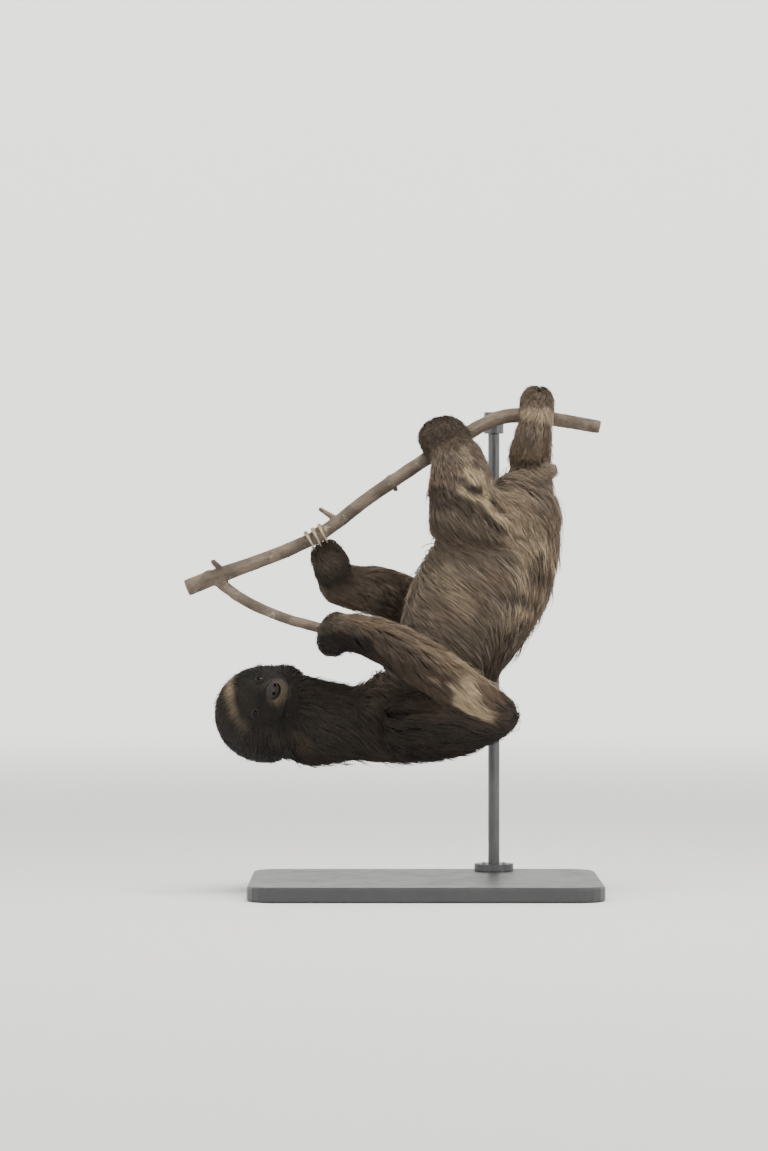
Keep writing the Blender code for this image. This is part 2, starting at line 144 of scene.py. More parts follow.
# How strongly the band shows, from the animal's right end of it to the left. It fades out at both
# ends, and its weaker right half is painted shade, as if that side of the head were in shadow.
BROW_FADE_AND_SHADE = ((-0.040, -0.029, -0.018, 0.000, 0.012, 0.030, 0.042),
             (0.04, 0.16, 0.38, 0.57, 0.96, 0.84, 0.30))


# ---- places read from the frame

def middle(node):
    low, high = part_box(node)
    return (low + high) / 2.0


def centre_of(node):
    return np.array(middle(node))


def kind_of(node):
    return node.replace("_left", "").replace("_right", "")


def side_of(node):
    return node.rsplit("_", 1)[1]


def unit(vectors):
    return vectors / np.maximum(np.linalg.norm(vectors, axis=-1, keepdims=True), 1e-9)


def flatten(vectors, normals):
    """What is left of the vectors once their part along the normals is taken away."""
    return vectors - normals * np.sum(vectors * normals, axis=-1, keepdims=True)


def ease(values, low, high):
    """0 up to low, 1 from high, and a smooth rise between them."""
    share = np.clip((values - low) / (high - low), 0.0, 1.0)
    return share * share * (3.0 - 2.0 * share)


def bell(values, width):
    """1 at nought, falling away smoothly to both sides of it."""
    return np.exp(-(values / width) ** 2)


# Numbers without a pattern of their own, for scrambling the cells of the haze.
SCRAMBLE_SEED, SCRAMBLE_CELL, SCRAMBLE_SIZE = 17.31, (127.1, 311.7, 74.7), 43758.5453


def haze(points, size, seed):
    """Smooth noise from -1 to 1 whose blotches are about this size."""
    places = points / size + seed * SCRAMBLE_SEED
    corner = np.floor(places)
    share = places - corner
    share = share * share * (3.0 - 2.0 * share)
    total = np.zeros(len(points))
    for step in np.ndindex(2, 2, 2):
        cell = corner + step
        level = np.sin(cell @ np.array(SCRAMBLE_CELL) + seed) * SCRAMBLE_SIZE
        weight = np.prod(np.where(np.array(step) == 1, share, 1.0 - share), axis=1)
        total += weight * (level - np.floor(level))
    return total * 2.0 - 1.0


class Face:
    """The head's own directions: the animal's left, the way its face looks and its crown."""

    def __init__(self):
        eyes = (middle("eye_left") + middle("eye_right")) / 2.0
        self.left = (middle("eye_left") - middle("eye_right")).normalized()
        slope = eyes - middle("nose")
        slope = (slope - self.left * slope.dot(self.left)).normalized()
        self.crown = Matrix.Rotation(SLOPE_OF_NOSE, 3, self.left) @ slope
        self.forward = self.left.cross(self.crown) * -1.0
        if self.forward.dot(middle("nose") - eyes) < 0.0:
            self.forward.negate()
        self.origin = eyes
        self.axes = np.array((self.left, self.forward, self.crown))

    def local(self, points):
        """Points as left, forward and crown distances from halfway between the eyes."""
        return (points - np.array(self.origin)) @ self.axes.T

    def world(self, places):
        return places @ self.axes + np.array(self.origin)

    def local_middle(self, node):
        return self.local(np.array([middle(node)]))[0]


FACE = Face()
NOSE_LOCAL = FACE.local_middle("nose")


# ---- meshes

def select_only(piece):
    for other in bpy.context.scene.objects:
        other.select_set(False)
    piece.select_set(True)
    bpy.context.view_layer.objects.active = piece


def link(name, mesh):
    piece = bpy.data.objects.new(name, mesh)
    bpy.context.scene.collection.objects.link(piece)
    return piece


@contextmanager
def edited(mesh):
    """Opens a mesh for editing, and writes it back."""
    work = bmesh.new()
    work.from_mesh(mesh)
    yield work
    work.to_mesh(mesh)
    work.free()


def turn_outwards(mesh):
    with edited(mesh) as work:
        bmesh.ops.recalc_face_normals(work, faces=work.faces)


def merged_copy(node):
    """A copy of a node's mesh with its loose triangles sewn together."""
    mesh = NODES[node].data.copy()
    mesh.materials.clear()
    with edited(mesh) as work:
        bmesh.ops.remove_doubles(work, verts=work.verts, dist=1e-6)
    return link(node + "_copy", mesh)


def joined(name, pieces):
    select_only(pieces[0])
    for piece in pieces:
        piece.select_set(True)
    bpy.ops.object.join()
    pieces[0].name = pieces[0].data.name = name
    return pieces[0]


def apply_modifier(piece, kind, **settings):
    select_only(piece)
    modifier = piece.modifiers.new(kind.lower(), kind)
    for key, value in settings.items():
        setattr(modifier, key, value)
    bpy.ops.object.modifier_apply(modifier=modifier.name)


def triples(items, key, kind=np.float32):
    flat = np.empty(len(items) * 3, kind)
    items.foreach_get(key, flat)
    return flat.reshape(-1, 3)


def points_of(mesh):
    return triples(mesh.vertices, "co").astype(float)


def normals_of(mesh):
    return triples(mesh.vertex_normals, "vector").astype(float)


def ring_faces(rows, rings, count):
    """Four-sided faces between rings of points; with as many rows as rings it closes up."""
    return [(ring * count + a, ring * count + (a + 1) % count,
             (ring + 1) % rings * count + (a + 1) % count, (ring + 1) % rings * count + a)
            for ring in range(rows) for a in range(count)]


def set_points(mesh, points):
    mesh.vertices.foreach_set("co", points.astype(np.float32).ravel())
    mesh.update()


def tree_of(mesh):
    return BVHTree.FromPolygons([v.co for v in mesh.vertices],
                                [tuple(p.vertices) for p in mesh.polygons])


def distances(tree, points):
    """How far each point is from a shape's surface."""
    return np.array([tree.find_nearest(point)[3] for point in points.tolist()])


def within(tree, points):
    """True for the points inside a closed shape, for points near it."""
    found = [(Vector(point), tree.find_nearest(point)) for point in points.tolist()]
    return np.array([(point - hit[0]).dot(hit[1]) < 0.0 for point, hit in found])


def numbered_tree(places):
    """A search tree that gives back the number of the nearest place."""
    tree = kdtree.KDTree(len(places))
    for number, place in enumerate(places):
        tree.insert(place, number)
    tree.balance()
    return tree


def store(mesh, name, values):
    """Keeps a number, or a place, for each point of the mesh."""
    kind = "FLOAT" if values.ndim == 1 else "FLOAT_VECTOR"
    layer = mesh.attributes.new(name, kind, "POINT")
    layer.data.foreach_set("value" if kind == "FLOAT" else "vector",
                           values.astype(np.float32).ravel())


def stood_on(place, way):
    """Turns a part's Z to this way and moves its middle to this place."""
    return Matrix.Translation(place) @ way.to_track_quat("Z", "Y").to_matrix().to_4x4()


def finish_piece(piece, material):
    piece.data.materials.clear()
    piece.data.materials.append(material)
    piece.data.shade_smooth()
    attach(piece, "root")


# ---- shader building

def maths(operation, reflected=False):
    """An operator that adds the Math node of one operation."""
    def work_out(self, other):
        values = [other, self] if reflected else [self, other]
        return self.finish.node("Math", {"operation": operation}, values)
    return work_out


class Value:
    """A number in a shader: each operator on it adds the Math node that works the answer out."""

    def __init__(self, finish, socket):
        self.finish, self.socket = finish, socket

    __add__ = __radd__ = maths("ADD")
    __mul__ = __rmul__ = maths("MULTIPLY")
    __sub__, __rsub__ = maths("SUBTRACT"), maths("SUBTRACT", True)
    __pow__ = maths("POWER")


class Finish:
    """A material and the nodes that make its colour, gloss and relief."""

    def __init__(self, name, **settings):
        self.material = bpy.data.materials.new(name)
        self.material.use_nodes = True
        self.tree = self.material.node_tree
        self.shader = self.tree.nodes["Principled BSDF"]
        for key, value in settings.items():
            self.shader.inputs[key.replace("_", " ")].default_value = value

    def node(self, kind, settings, values, output=0):
        """Adds a node; values are its inputs by number or by name."""
        made = self.tree.nodes.new("ShaderNode" + kind)
        for key, value in settings.items():
            setattr(made, key, value)
        pairs = values.items() if isinstance(values, dict) else enumerate(values)
        for key, value in pairs:
            if isinstance(value, Value):
                self.tree.links.new(value.socket, made.inputs[key])
            else:
                made.inputs[key].default_value = value
        return Value(self, made.outputs[output])

    def drive(self, **values):
        """Links values to the shader's inputs; returns the finished material."""
        for key, value in values.items():
            self.tree.links.new(value.socket, self.shader.inputs[key.replace("_", " ")])
        return self.material

    def place(self):
        return self.node("TexCoord", {}, [], "Object")

    def stored(self, name, output="Fac"):
        return self.node("Attribute", {"attribute_name": name}, [], output)

    def noise(self, place, scale, detail=3.0, roughness=0.55):
        values = {"Vector": place, "Scale": scale, "Detail": detail, "Roughness": roughness}
        return self.node("TexNoise", {}, values)

    def cells(self, place, scale):
        values = {"Vector": place, "Scale": scale}
        return self.node("TexVoronoi", {}, values, "Distance")

    def between(self, value, low, high):
        """0 up to low, 1 from high, and a smooth rise between them."""
        return self.node("MapRange", {"interpolation_type": "SMOOTHSTEP"},
                         {"Value": value, "From Min": low, "From Max": high})

    def mix(self, share, first, second):
        settings = {"data_type": "RGBA", "clamp_factor": True}
        return self.node("Mix", settings, {0: share, 6: first, 7: second}, 2)

    def grain(self, place, factors, detail):
        """Noise whose scale differs along the three axes."""
        stretched = self.node("Mapping", {}, {"Vector": place, "Scale": factors})
        return self.noise(stretched, 1.0, detail)

    def blotches(self, place, scale, detail, low, high, roughness=0.55):
        """Noise with smooth edges: 0 where it is under low and 1 where it is over high."""
        return self.between(self.noise(place, scale, detail, roughness), low, high)

    def layered(self, colour, *layers):
        """Colours laid over each other; each layer is its share and its colour."""
        for share, over in layers:
            colour = self.mix(share, colour, over)
        return colour

    def vectors(self, operation, values, output=0):
        return self.node("VectorMath", {"operation": operation}, values, output)

    def scaled(self, colour, amount):
        return self.vectors("SCALE", {0: colour, "Scale": amount})

    def bump(self, height, distance, strength):
        values = {"Height": height, "Distance": distance, "Strength": strength}
        return self.node("Bump", {}, values)


def tint(red, green, blue):
    """A colour written from 0 to 255 as displays show it, as the shader's linear colour."""
    shares = [level / 255.0 for level in (red, green, blue)]
    linear = [s / 12.92 if s <= 0.04045 else ((s + 0.055) / 1.055) ** 2.4 for s in shares]
    return (*linear, 1.0)


# ---- markings of skin and coat

MARK_PARTS = {
    "leg_right": ("thigh_right", "shank_right", "foot_right"),
    "leg_left": ("thigh_left", "shank_left", "foot_left"), "body": ("trunk",),
    "hip": ("thigh_right", "shank_right", "trunk"), "rump": ("trunk", "tail"),
    "arm_right": ("upper_arm_right", "forearm_right"), "paw": ("hand_right", "forearm_right"),
    "side_face": ("head", "neck"),
}
# The coat's streaks, by where they show, the node that they are placed on and their kind; a
# plain one takes the part's own darkness away. Each has the places in the node's box where it
# starts and ends and its strength, all in hundredths, and before the strength its radius in
# tenths of a millimetre. Places are shares of the way along X and Z.
MARKS = {
    ("leg_right", "shank_right", "pale"): (
        (54, 85, 55, 70, 60, 42), (44, 56, 60, 56, 40, 85), (57, 56, 69, 51, 86, 100),
        (79, 45, 88, 28, 58, 80), (91, 40, 121, 10, 60, 38), (44, 37, 51, 30, 50, 62),
        (51, 30, 66, 23, 42, 80), (66, 23, 82, 22, 42, 95),),
    ("hip", "thigh_right", "pale"): (
        (49, 78, 56, 62, 54, 100), (56, 62, 67, 50, 54, 100), (67, 50, 84, 34, 50, 72),
        (68, 25, 85, 17, 46, 45),),
    # This pale streak is painted light: the top of the trunk by the hip, paler as if lit from above.
    ("hip", "trunk", "pale"): (
        (77, 88, 85, 72, 250, 38),),
    ("leg_right", "shank_right", "dark"): (
        (62, 35, 76, 34, 44, 85), (38, 49, 49, 48, 38, 60), (10, 25, 54, 11, 125, 60),),
    # The third of these dark streaks is painted shade: the shadow on the left of the near knee.
    ("hip", "thigh_right", "dark"): (
        (57, 77, 67, 62, 30, 66), (49, 56, 68, 30, 42, 66), (0, 45, 16, 21, 80, 48),
        (16, 27, 53, 14, 48, 42),),
    ("body", "trunk", "pale"): (
        (82, 74, 93, 73, 70, 55), (81, 69, 80, 63, 85, 40), (95, 73, 96, 66, 60, 45),
        (80, 60, 84, 59, 44, 62), (84, 59, 86, 56, 44, 45), (79, 52, 84, 51, 58, 100),
        (79, 50, 74, 46, 60, 45), (71, 52, 74, 51, 50, 42), (92, 61, 89, 55, 50, 25),
        (47, 65, 54, 53, 150, 28),),
    ("body", "trunk", "dark"): (
        (89, 71, 89, 69, 36, 70), (86, 66, 92, 62, 85, 50), (66, 73, 77, 68, 60, 34),
        (57, 71, 65, 65, 50, 30), (71, 57, 80, 56, 60, 50), (80, 56, 82, 54, 44, 72),
        (86, 54, 86, 53, 42, 75), (77, 53, 77, 50, 26, 55), (75, 45, 76, 42, 50, 55),
        (63, 55, 62, 44, 70, 32), (88, 95, 93, 96, 34, 50),),
    ("rump", "trunk", "pale"): (
        (80, 98, 87, 99, 60, 26),),
    ("arm_right", "upper_arm_right", "pale"): (
        (63, 111, 66, 91, 105, 100), (57, 87, 68, 76, 88, 90), (68, 80, 78, 66, 80, 72),
        (50, 107, 58, 99, 38, 90),),
    ("arm_right", "forearm_right", "pale"): (
        (51, 38, 57, 35, 38, 32), (65, 58, 90, 31, 56, 62),),
    ("arm_right", "forearm_right", "dark"): (
        (91, 25, 93, 22, 32, 55), (15, 62, 35, 32, 125, 80),),
    ("arm_right", "upper_arm_right", "dark"): (
        (89, 73, 97, 64, 85, 72),),
    ("arm_right", "upper_arm_right", "plain"): (
        (74, 108, 84, 78, 120, 85), (26, 78, 42, 74, 150, 24),),
    ("arm_right", "upper_arm_right", "brown"): (
        (74, 108, 87, 78, 150, 60), (26, 78, 44, 73, 170, 75),),
    # This dark streak is painted shade: the shadow under the near hand's palm.
    ("paw", "hand_right", "dark"): (
        (25, 30, 124, 24, 150, 97),),
    ("side_face", "head", "plain"): (
        (94, 24, 97, 19, 110, 30),),
    ("side_face", "head", "brown"): (
        (94, 24, 97, 19, 110, 80),),
    ("leg_left", "shank_left", "pale"): (
        (34, 106, 84, 103, 66, 78), (84, 108, 100, 96, 60, 60), (68, 86, 70, 37, 40, 26),),
    # The third and fourth of these dark streaks are painted shade: down the far shank's shaded right
    # edge, and in the join between the far shank and the tail.
    ("leg_left", "shank_left", "dark"): (
        (34, 96, 54, 93, 40, 28), (36, 66, 50, 59, 56, 42), (82, 68, 86, 43, 34, 45),
        (25, 33, 82, 33, 30, 45),),
    ("leg_left", "foot_left", "dark"): (
        (61, 94, 81, 85, 65, 45),),
}
# How dark, brown and pale the coat of each part is where no streak crosses it. The darkness is
# partly the coat's own colour and partly painted shade, most of it on the head, throat and upper
# arms; the far shank's paleness is painted light, and the tail's is its own colour.
DARK_AND_SHADED_PARTS = {"head": 0.95, "neck": 0.86, "upper_arm_right": 0.90, "upper_arm_left": 0.70,
              "forearm_left": 0.12, "hand_right": 0.66, "hand_left": 0.64, "thigh_right": 0.28,
              "shank_right": 0.10, "foot_right": 0.52, "foot_left": 0.26}
BROWN_PARTS = {"neck": 0.35, "forearm_right": 0.75, "forearm_left": 0.35, "hand_left": 0.3,
               "upper_arm_right": 0.5, "thigh_right": 0.45, "shank_right": 0.28,
               "foot_right": 0.60, "foot_left": 0.3}
PALE_AND_LIT_PARTS = {"tail": 0.18, "shank_left": 0.17}
# Painted light and shade on the near forearm: how dark its underside is painted, how much of that
# darkness its lit top loses, and how pale that top is painted.
FOREARM_PAINTED_SHADE, FOREARM_TOP_PAINTED_LIGHT, FOREARM_TOP_PAINTED_HIGHLIGHT = 0.48, 0.44, 0.20
# Painted shade that darkens the trunk towards its low end.
TRUNK_LOW_PAINTED_SHADE = 0.80
# How much of a streak on the body is left out along the middle of the back, and how wide.
PARTING_SHARE, PARTING_WIDTH = 0.65, 0.008
EDGE_DARK = 0.09
FAR_SIDE_SHIFT = np.array((0.008, -0.021))


def streak(points, node, start, end, radius, edge):
    """1 within a rounded streak seen from the side, fading out round it; edge roughens it."""
    low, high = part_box(node)
    corner, size = np.array((low.x, low.z)), np.array((high.x - low.x, high.z - low.z))
    start, end = corner + size * start, corner + size * end
    run = end - start
    places = points[:, (0, 2)] + ease(points[:, 1], -0.006, 0.010)[:, None] * FAR_SIDE_SHIFT
    share = np.clip((places - start) @ run / max(run @ run, 1e-12), 0.0, 1.0)
    reach = np.linalg.norm(places - start - share[:, None] * run, axis=1)
    return 1.0 - ease(reach / radius + edge, 0.72, 1.18)


def by_part(table, belongs):
    """The values of some parts, mixed by each point's share in them."""
    return np.sum([belongs[part] * value for part, value in table.items()], axis=0)


def strongest(*masks):
    return np.clip(np.max(masks, axis=0), 0.0, 1.0)


def oval(local, drop, half_sizes):
    """How far out each place is on an oval of the face whose middle lies under the eyes."""
    return np.hypot(local[:, 0] / half_sizes[0], (local[:, 2] + drop) / half_sizes[1])


def face_share(local):
    """1 on the short-haired face, 0 on the rest of the head."""
    out = oval(local, FACE_DROP, FACE_REACH)
    return (1.0 - ease(out, 0.72, 1.12)) * ease(local[:, 1], -0.022, -0.004)


def face_marks(points, edge):
    """The pale band over the brow, and the light muzzle."""
    local = FACE.local(points)
    across = np.linspace(-BROW_REACH, BROW_REACH + BROW_LEAN, 41)
    rise = BROW_HEIGHT - BROW_DROP * (np.abs(across - BROW_LEAN) / BROW_REACH) ** 2.6
    rise = rise + BROW_TILT * across
    reach = np.hypot(local[:, 0, None] - across, local[:, 2, None] - rise)
    # The band is painted dimmer towards the animal's right, as shade on that side.
    fade_and_shade = np.interp(local[:, 0], *BROW_FADE_AND_SHADE)
    band = BROW_STRENGTH * bell(reach.min(axis=1) + 0.0016 * edge, BROW_WIDTH)
    band = band * fade_and_shade * ease(local[:, 1], -0.048, -0.030)
    muzzle = 1.0 - ease(oval(local, MUZZLE_DROP, MUZZLE_REACH), 0.6, 1.15)
    return band, muzzle * ease(local[:, 1], 0.000, 0.010) * MUZZLE_STRENGTH


def marks_at(points, belongs, edge):
    """How pale, how dark and how brown the coat is at each point; the darkness is partly painted
    shade and the paleness partly painted light.

    belongs gives each point's share in every part of the flesh; edge is a rough noise."""
    belongs = dict(belongs)
    for paw in PAWS:
        belongs[paw] = ease(belongs[paw] + 0.06 * edge, 0.30, 0.70)
    band, muzzle = face_marks(points, edge)
    drawn = {"pale": [band * belongs["head"], muzzle * belongs["head"]], "dark": [], "brown": [],
             "plain": []}
    parting = bell(points[:, 1] - 0.004 * edge, PARTING_WIDTH)
    for (where, node, kind), streaks in MARKS.items():
        share = np.minimum(sum(belongs[part] for part in MARK_PARTS[where]) * 1.5, 1.0)
        if where == "body":
            share = share * (1.0 - PARTING_SHARE * parting)
        for numbers in streaks:
            *places, _, strength = np.array(numbers) / 100.0
            radius = numbers[4] / 10000.0
            rough = edge * min(0.0065 / radius, 0.8)
            mark = streak(points, node, places[:2], places[2:], radius, rough)
            drawn[kind].append(mark * share * strength)
    # The near forearm is painted paler along its top and darker below it, as painted light and shade
    # from above.
    top = ease(height_on("forearm_right", points) + 0.004 * edge, 0.003, 0.019)
    # The trunk is painted darker towards its low end, as painted shade.
    low = ease(-height_on("trunk", points), -0.045, 0.130)
    forearm = belongs["forearm_right"]
    pale = strongest(*drawn["pale"], FOREARM_TOP_PAINTED_HIGHLIGHT * top * forearm,
                     *[belongs[part] * share for part, share in PALE_AND_LIT_PARTS.items()])
    base = by_part(DARK_AND_SHADED_PARTS, belongs) + belongs["trunk"] * TRUNK_LOW_PAINTED_SHADE * low
    base = base + forearm * (FOREARM_PAINTED_SHADE - FOREARM_TOP_PAINTED_LIGHT * top)
    over = strongest(*drawn["dark"])
    base = base * (1.0 - strongest(*drawn["plain"]))
    dark = np.maximum(np.clip(base * (1.0 - pale) + EDGE_DARK * edge, 0.0, 1.0), over)
    brown = strongest(*drawn["brown"], by_part(BROWN_PARTS, belongs))
    return pale * (1.0 - over), dark, brown


def middle_line(node, slices):
    """Middle points along a long node, from its low X end to its high X end."""
    points = points_of(NODES[node].data)
    edges = np.linspace(points[:, 0].min(), points[:, 0].max(), slices + 1)
    found = []
    for start, end in zip(edges[:-1], edges[1:]):
        ring = points[(points[:, 0] >= start) & (points[:, 0] <= end)]
        if len(ring) > 3:
            found.append((ring.min(axis=0) + ring.max(axis=0)) / 2.0)
    return np.array(found)


def height_on(node, points):
    """How far above its middle line each point of a part is."""
    if kind_of(node) == "forearm":
        line = middle_line(node, 8)
        return points[:, 2] - np.interp(points[:, 0], line[:, 0], line[:, 2])
    return points[:, 2] - middle(node).z


# ---- the lie of the coat

def farthest(node, direction):
    """The point of a node that lies farthest along a direction."""
    points = points_of(NODES[node].data)
    return points[np.argmax(points @ np.array(direction))]


ELBOWS = {side: farthest("forearm_" + side, (1.0, 0.0, 0.0)) for side in SIDES}
LIMB_OF = {"hand": "forearm", "foot": "shank"}
TRUNK_LINE_SHIFT = (0.017, 0.0, 0.004)
TO_THE_BACK = (0.894, 0.0, -0.447)


def claws_of(paw):
    return ["claw_%s_%d" % (paw, number + 1) for number in range(CLAWS_PER_PAW)]


def paw_lie(paw, points):
    """From the claws behind the branch, over the paw and down to the wrist or ankle."""
    claws = [centre_of(claw) for claw in claws_of(paw)]
    away = centre_of(paw) - np.mean(claws, axis=0)
    limb = LIMB_OF[kind_of(paw)] + "_" + side_of(paw)
    return unit(centre_of(limb) - points) + 0.5 * unit(away)


def guide(node, points, normals):
    """The way the coat is combed at points of one part, before it is laid along the surface."""
    kind = kind_of(node)
    if kind == "head":
        return unit(points - FACE.world(NOSE_LOCAL[None, :])) - 0.12 * UP
    if kind == "neck":
        return np.array((0.9, 0.0, -0.25)) + 0.35 * unit(points - FACE.world(np.zeros((1, 3))))
    if kind == "trunk":
        parting = np.zeros_like(points)
        parting[:, 1] = np.clip(points[:, 1] / 0.03, -1.0, 1.0) * np.clip(-normals[:, 0], 0.0, 1.0)
        centre = centre_of("trunk") + np.array(TRUNK_LINE_SHIFT)
        back = ease((points - centre) @ unit(np.array(TO_THE_BACK)), -0.025, 0.070)[:, None]
        down = np.array((0.84, 0.0, -0.54)) * (1.0 - back) + np.array((-0.35, 0.0, -0.94)) * back
        return down + 0.9 * parting
    if kind == "tail":
        return np.array((0.9, -0.1, 0.15)) + 0.2 * normals
    if kind in ("upper_arm", "forearm"):
        elbow = ELBOWS[side_of(node)]
        start = centre_of(node) - 0.5 * (elbow - centre_of(node))
        return unit(elbow - start) * np.ones_like(points) - 0.18 * UP
    if kind == "thigh":
        towards_back = 0.85 if side_of(node) == "right" else 0.25
        return np.array((towards_back, 0.0, -0.75)) * np.ones_like(points)
    if kind == "shank":
        down = np.array(middle("thigh_" + side_of(node)) - middle("foot_" + side_of(node)))
        return unit(down) * np.ones_like(points)
    return paw_lie(node, points)


def lie_of_coat(points, normals, belongs):
    total = np.zeros_like(points)
    for node in FLESH:
        total += belongs[node][:, None] * unit(guide(node, points, normals))
    sway = 0.10 * np.cross(normals, total) * haze(points, 0.035, 2)[:, None]
    return unit(flatten(total + sway - 0.10 * UP, normals))


# ---- the skin

def belonging(points):
    """Each point's share in every part of the flesh, and the part it belongs to most."""
    shares = {}
    for node in FLESH:
        tree = tree_of(NODES[node].data)
        shares[node] = bell(distances(tree, points), PART_BLEND)
    total = np.sum([shares[node] for node in FLESH], axis=0) + 1e-9
    shares = {node: share / total for node, share in shares.items()}
    owner = np.argmax([shares[node] for node in FLESH], axis=0)
    return shares, owner


def coat_size(column, belongs, face):
    """The depth, length or width of the coat at each point; face is the share in the face."""
    usual = by_part({node: COAT[kind_of(node)][column] for node in FLESH}, belongs)
    return usual * (1.0 - face) + FACE_COAT[column] * face


def refine_face(mesh, rounds):
    """Finer faces on the muzzle, round the eyes and along the mouth."""
    with edited(mesh) as work:
        for _ in range(rounds):
            places = FACE.local(np.array([v.co for v in work.verts]))
            reach = np.linalg.norm(places + (0.0, 0.0, 0.014), axis=1)
            close = (places[:, 1] > -0.012) & (reach < 0.040)
            edges = [e for e in work.edges if close[e.verts[0].index] and close[e.verts[1].index]]
            bmesh.ops.subdivide_edges(work, edges=edges, cuts=1, use_grid_fill=True, smooth=0.4)
            work.verts.index_update()
        bmesh.ops.triangulate(work, faces=work.faces)


def eye_directions(side):
    """Where an eye looks, and the ways across it and up it, in the face's own directions."""
    sign = 1.0 if side == "left" else -1.0
    look = unit(np.array((EYE_LOOK[0] * sign, *EYE_LOOK[1:])))
    across = unit(np.cross(look, np.array((0.0, 0.0, 1.0))))
    return look, across, np.cross(across, look)


def eye_place(local, side):
    """An eye's centre, each place's offset from it, and how far out of its lids it is."""
    eye = FACE.local_middle("eye_" + side)
    look, across, rise = eye_directions(side)
    offset = local - eye
    out = np.hypot((offset @ across) / EYE_OPENING[0], (offset @ rise) / EYE_OPENING[1])
    out = np.where(offset @ look < 0.0, 9.0, out)
    return eye, offset, out


def mouth_gap(local):
    """How far a place on the muzzle is from the line of the closed mouth."""
    line = MOUTH_HEIGHT + MOUTH_CURVE * local[:, 0] ** 2
    gap = np.abs(local[:, 2] - line)
    beside = np.maximum(np.abs(local[:, 0]) - MOUTH_HALF_WIDTH, 0.0)
    on_muzzle = (local[:, 1] > -0.002) & (local[:, 1] < 0.060)
    return np.where(on_muzzle, np.hypot(gap, beside), 1.0)


def model_face(points):
    """Sockets round the eyes, the line of the mouth, and a collar round the nose."""
    local = FACE.local(points)
    behind = EYE_RADIUS * HOLLOW_SHARE
    for side in SIDES:
        eye, offset, out = eye_place(local, side)
        reach = np.linalg.norm(offset, axis=1)
        socket = reach - SOCKET_DEPTH * bell(out - SOCKET_AT, SOCKET_WIDTH)
        wanted = np.where(out < 1.0, behind, EYE_RADIUS + LID_THICKNESS)
        wanted = wanted + (behind - wanted) * (1.0 - ease(out, 0.92, 1.12))
        share = ease(out, 1.25, 2.9)
        wanted = wanted * (1.0 - share) + socket * share
        touched = (out < 4.5) & (reach < 0.016)
        local[touched] = eye + (offset / reach[:, None] * wanted[:, None])[touched]
    gap = mouth_gap(local)
    groove = GROOVE_DEPTH * bell(gap, GROOVE_WIDTH)
    lip = LIP_HEIGHT * bell(gap - LIP_AT, LIP_WIDTH)
    on_muzzle = ease(local[:, 1], -0.004, 0.006)
    from_nose = np.hypot(local[:, 0] / 1.4, local[:, 2] - NOSE_LOCAL[2])
    collar = COLLAR_HEIGHT * bell(from_nose - COLLAR_AT, COLLAR_WIDTH)
    local[:, 1] += (lip - groove + collar) * on_muzzle
    return FACE.world(local)


def lids(side):
    """Both lids of one eye: a rim with a rounded edge and a fold behind it, closed inside."""
    look, across, rise = eye_directions(side)
    turns = np.linspace(0.0, 2.0 * math.pi, 72, endpoint=False)
    height = np.where(np.sin(turns) > 0.0, LID_UP, LID_DOWN)
    edge = ((np.abs(np.cos(turns)) / LID_SIDE) ** 1.7
            + (np.abs(np.sin(turns)) / height) ** 1.7) ** (-1.0 / 1.7)
    profile = list(LID_PROFILE) + [(share, -0.0016) for share, _ in LID_PROFILE[::-3]]
    around = np.cos(turns)[:, None] * across + np.sin(turns)[:, None] * rise
    rings = []
    for share, raised in profile:
        slope = (edge + (LID_BACK - edge) * share)[:, None]
        rings.append((EYE_RADIUS + raised) * (np.cos(slope) * look + np.sin(slope) * around))
    points = FACE.world(np.concatenate(rings) + FACE.local_middle("eye_" + side))
    mesh = bpy.data.meshes.new("lids_" + side)
    mesh.from_pydata(points.tolist(), [], ring_faces(len(rings), len(rings), len(turns)))
    turn_outwards(mesh)
    for key in ("dark", "bare", "pale", "brown", "mouth_crease_shade"):
        store(mesh, key, np.full(len(points), 1.0 if key in ("dark", "bare") else 0.0))
    return link("lids_" + side, mesh)


def make_skin():
    """One skin over all the flesh, lying under the coat by the coat's depth."""
    skin = joined("skin", [merged_copy(node) for node in FLESH])
    body = tree_of(skin.data)
    apply_modifier(skin, "DISPLACE", strength=SKIN_FUSE, mid_level=0.0)
    apply_modifier(skin, "REMESH", mode="VOXEL", voxel_size=SKIN_VOXEL)
    apply_modifier(skin, "SMOOTH", factor=0.5, iterations=SKIN_SMOOTHING)
    for _ in range(2):
        points = points_of(skin.data)
        nearest = np.array([body.find_nearest(point)[0] for point in points.tolist()])
        set_points(skin.data, points + 0.8 * (nearest - points))
        apply_modifier(skin, "SMOOTH", factor=0.5, iterations=3)
    refine_face(skin.data, 2)
    points, normals = points_of(skin.data), normals_of(skin.data)
    belongs, owner = belonging(points)
    face = face_share(FACE.local(points)) * belongs["head"]
    depth = coat_size(DEPTH, belongs, face)
    forward, swell = by_part(PUFF_FORWARD, belongs), by_part(PUFF_ROUND, belongs)
    points = points - normals * (depth - swell)[:, None]
    points[:, 0] -= forward * ease(-normals[:, 0], 0.0, 0.9)
    points[:, 0] += 0.6 * belongs["foot_right"] * forward * ease(normals[:, 0], 0.0, 0.9)
    points[:, 0] -= TAIL_SHORTER * belongs["tail"] * ease(normals[:, 0], -0.2, 0.8)
    set_points(skin.data, points)
    apply_modifier(skin, "SMOOTH", factor=0.4, iterations=3)
    set_points(skin.data, model_face(points_of(skin.data)))
    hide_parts(*FLESH)
    return skin, belongs, owner, face, depth


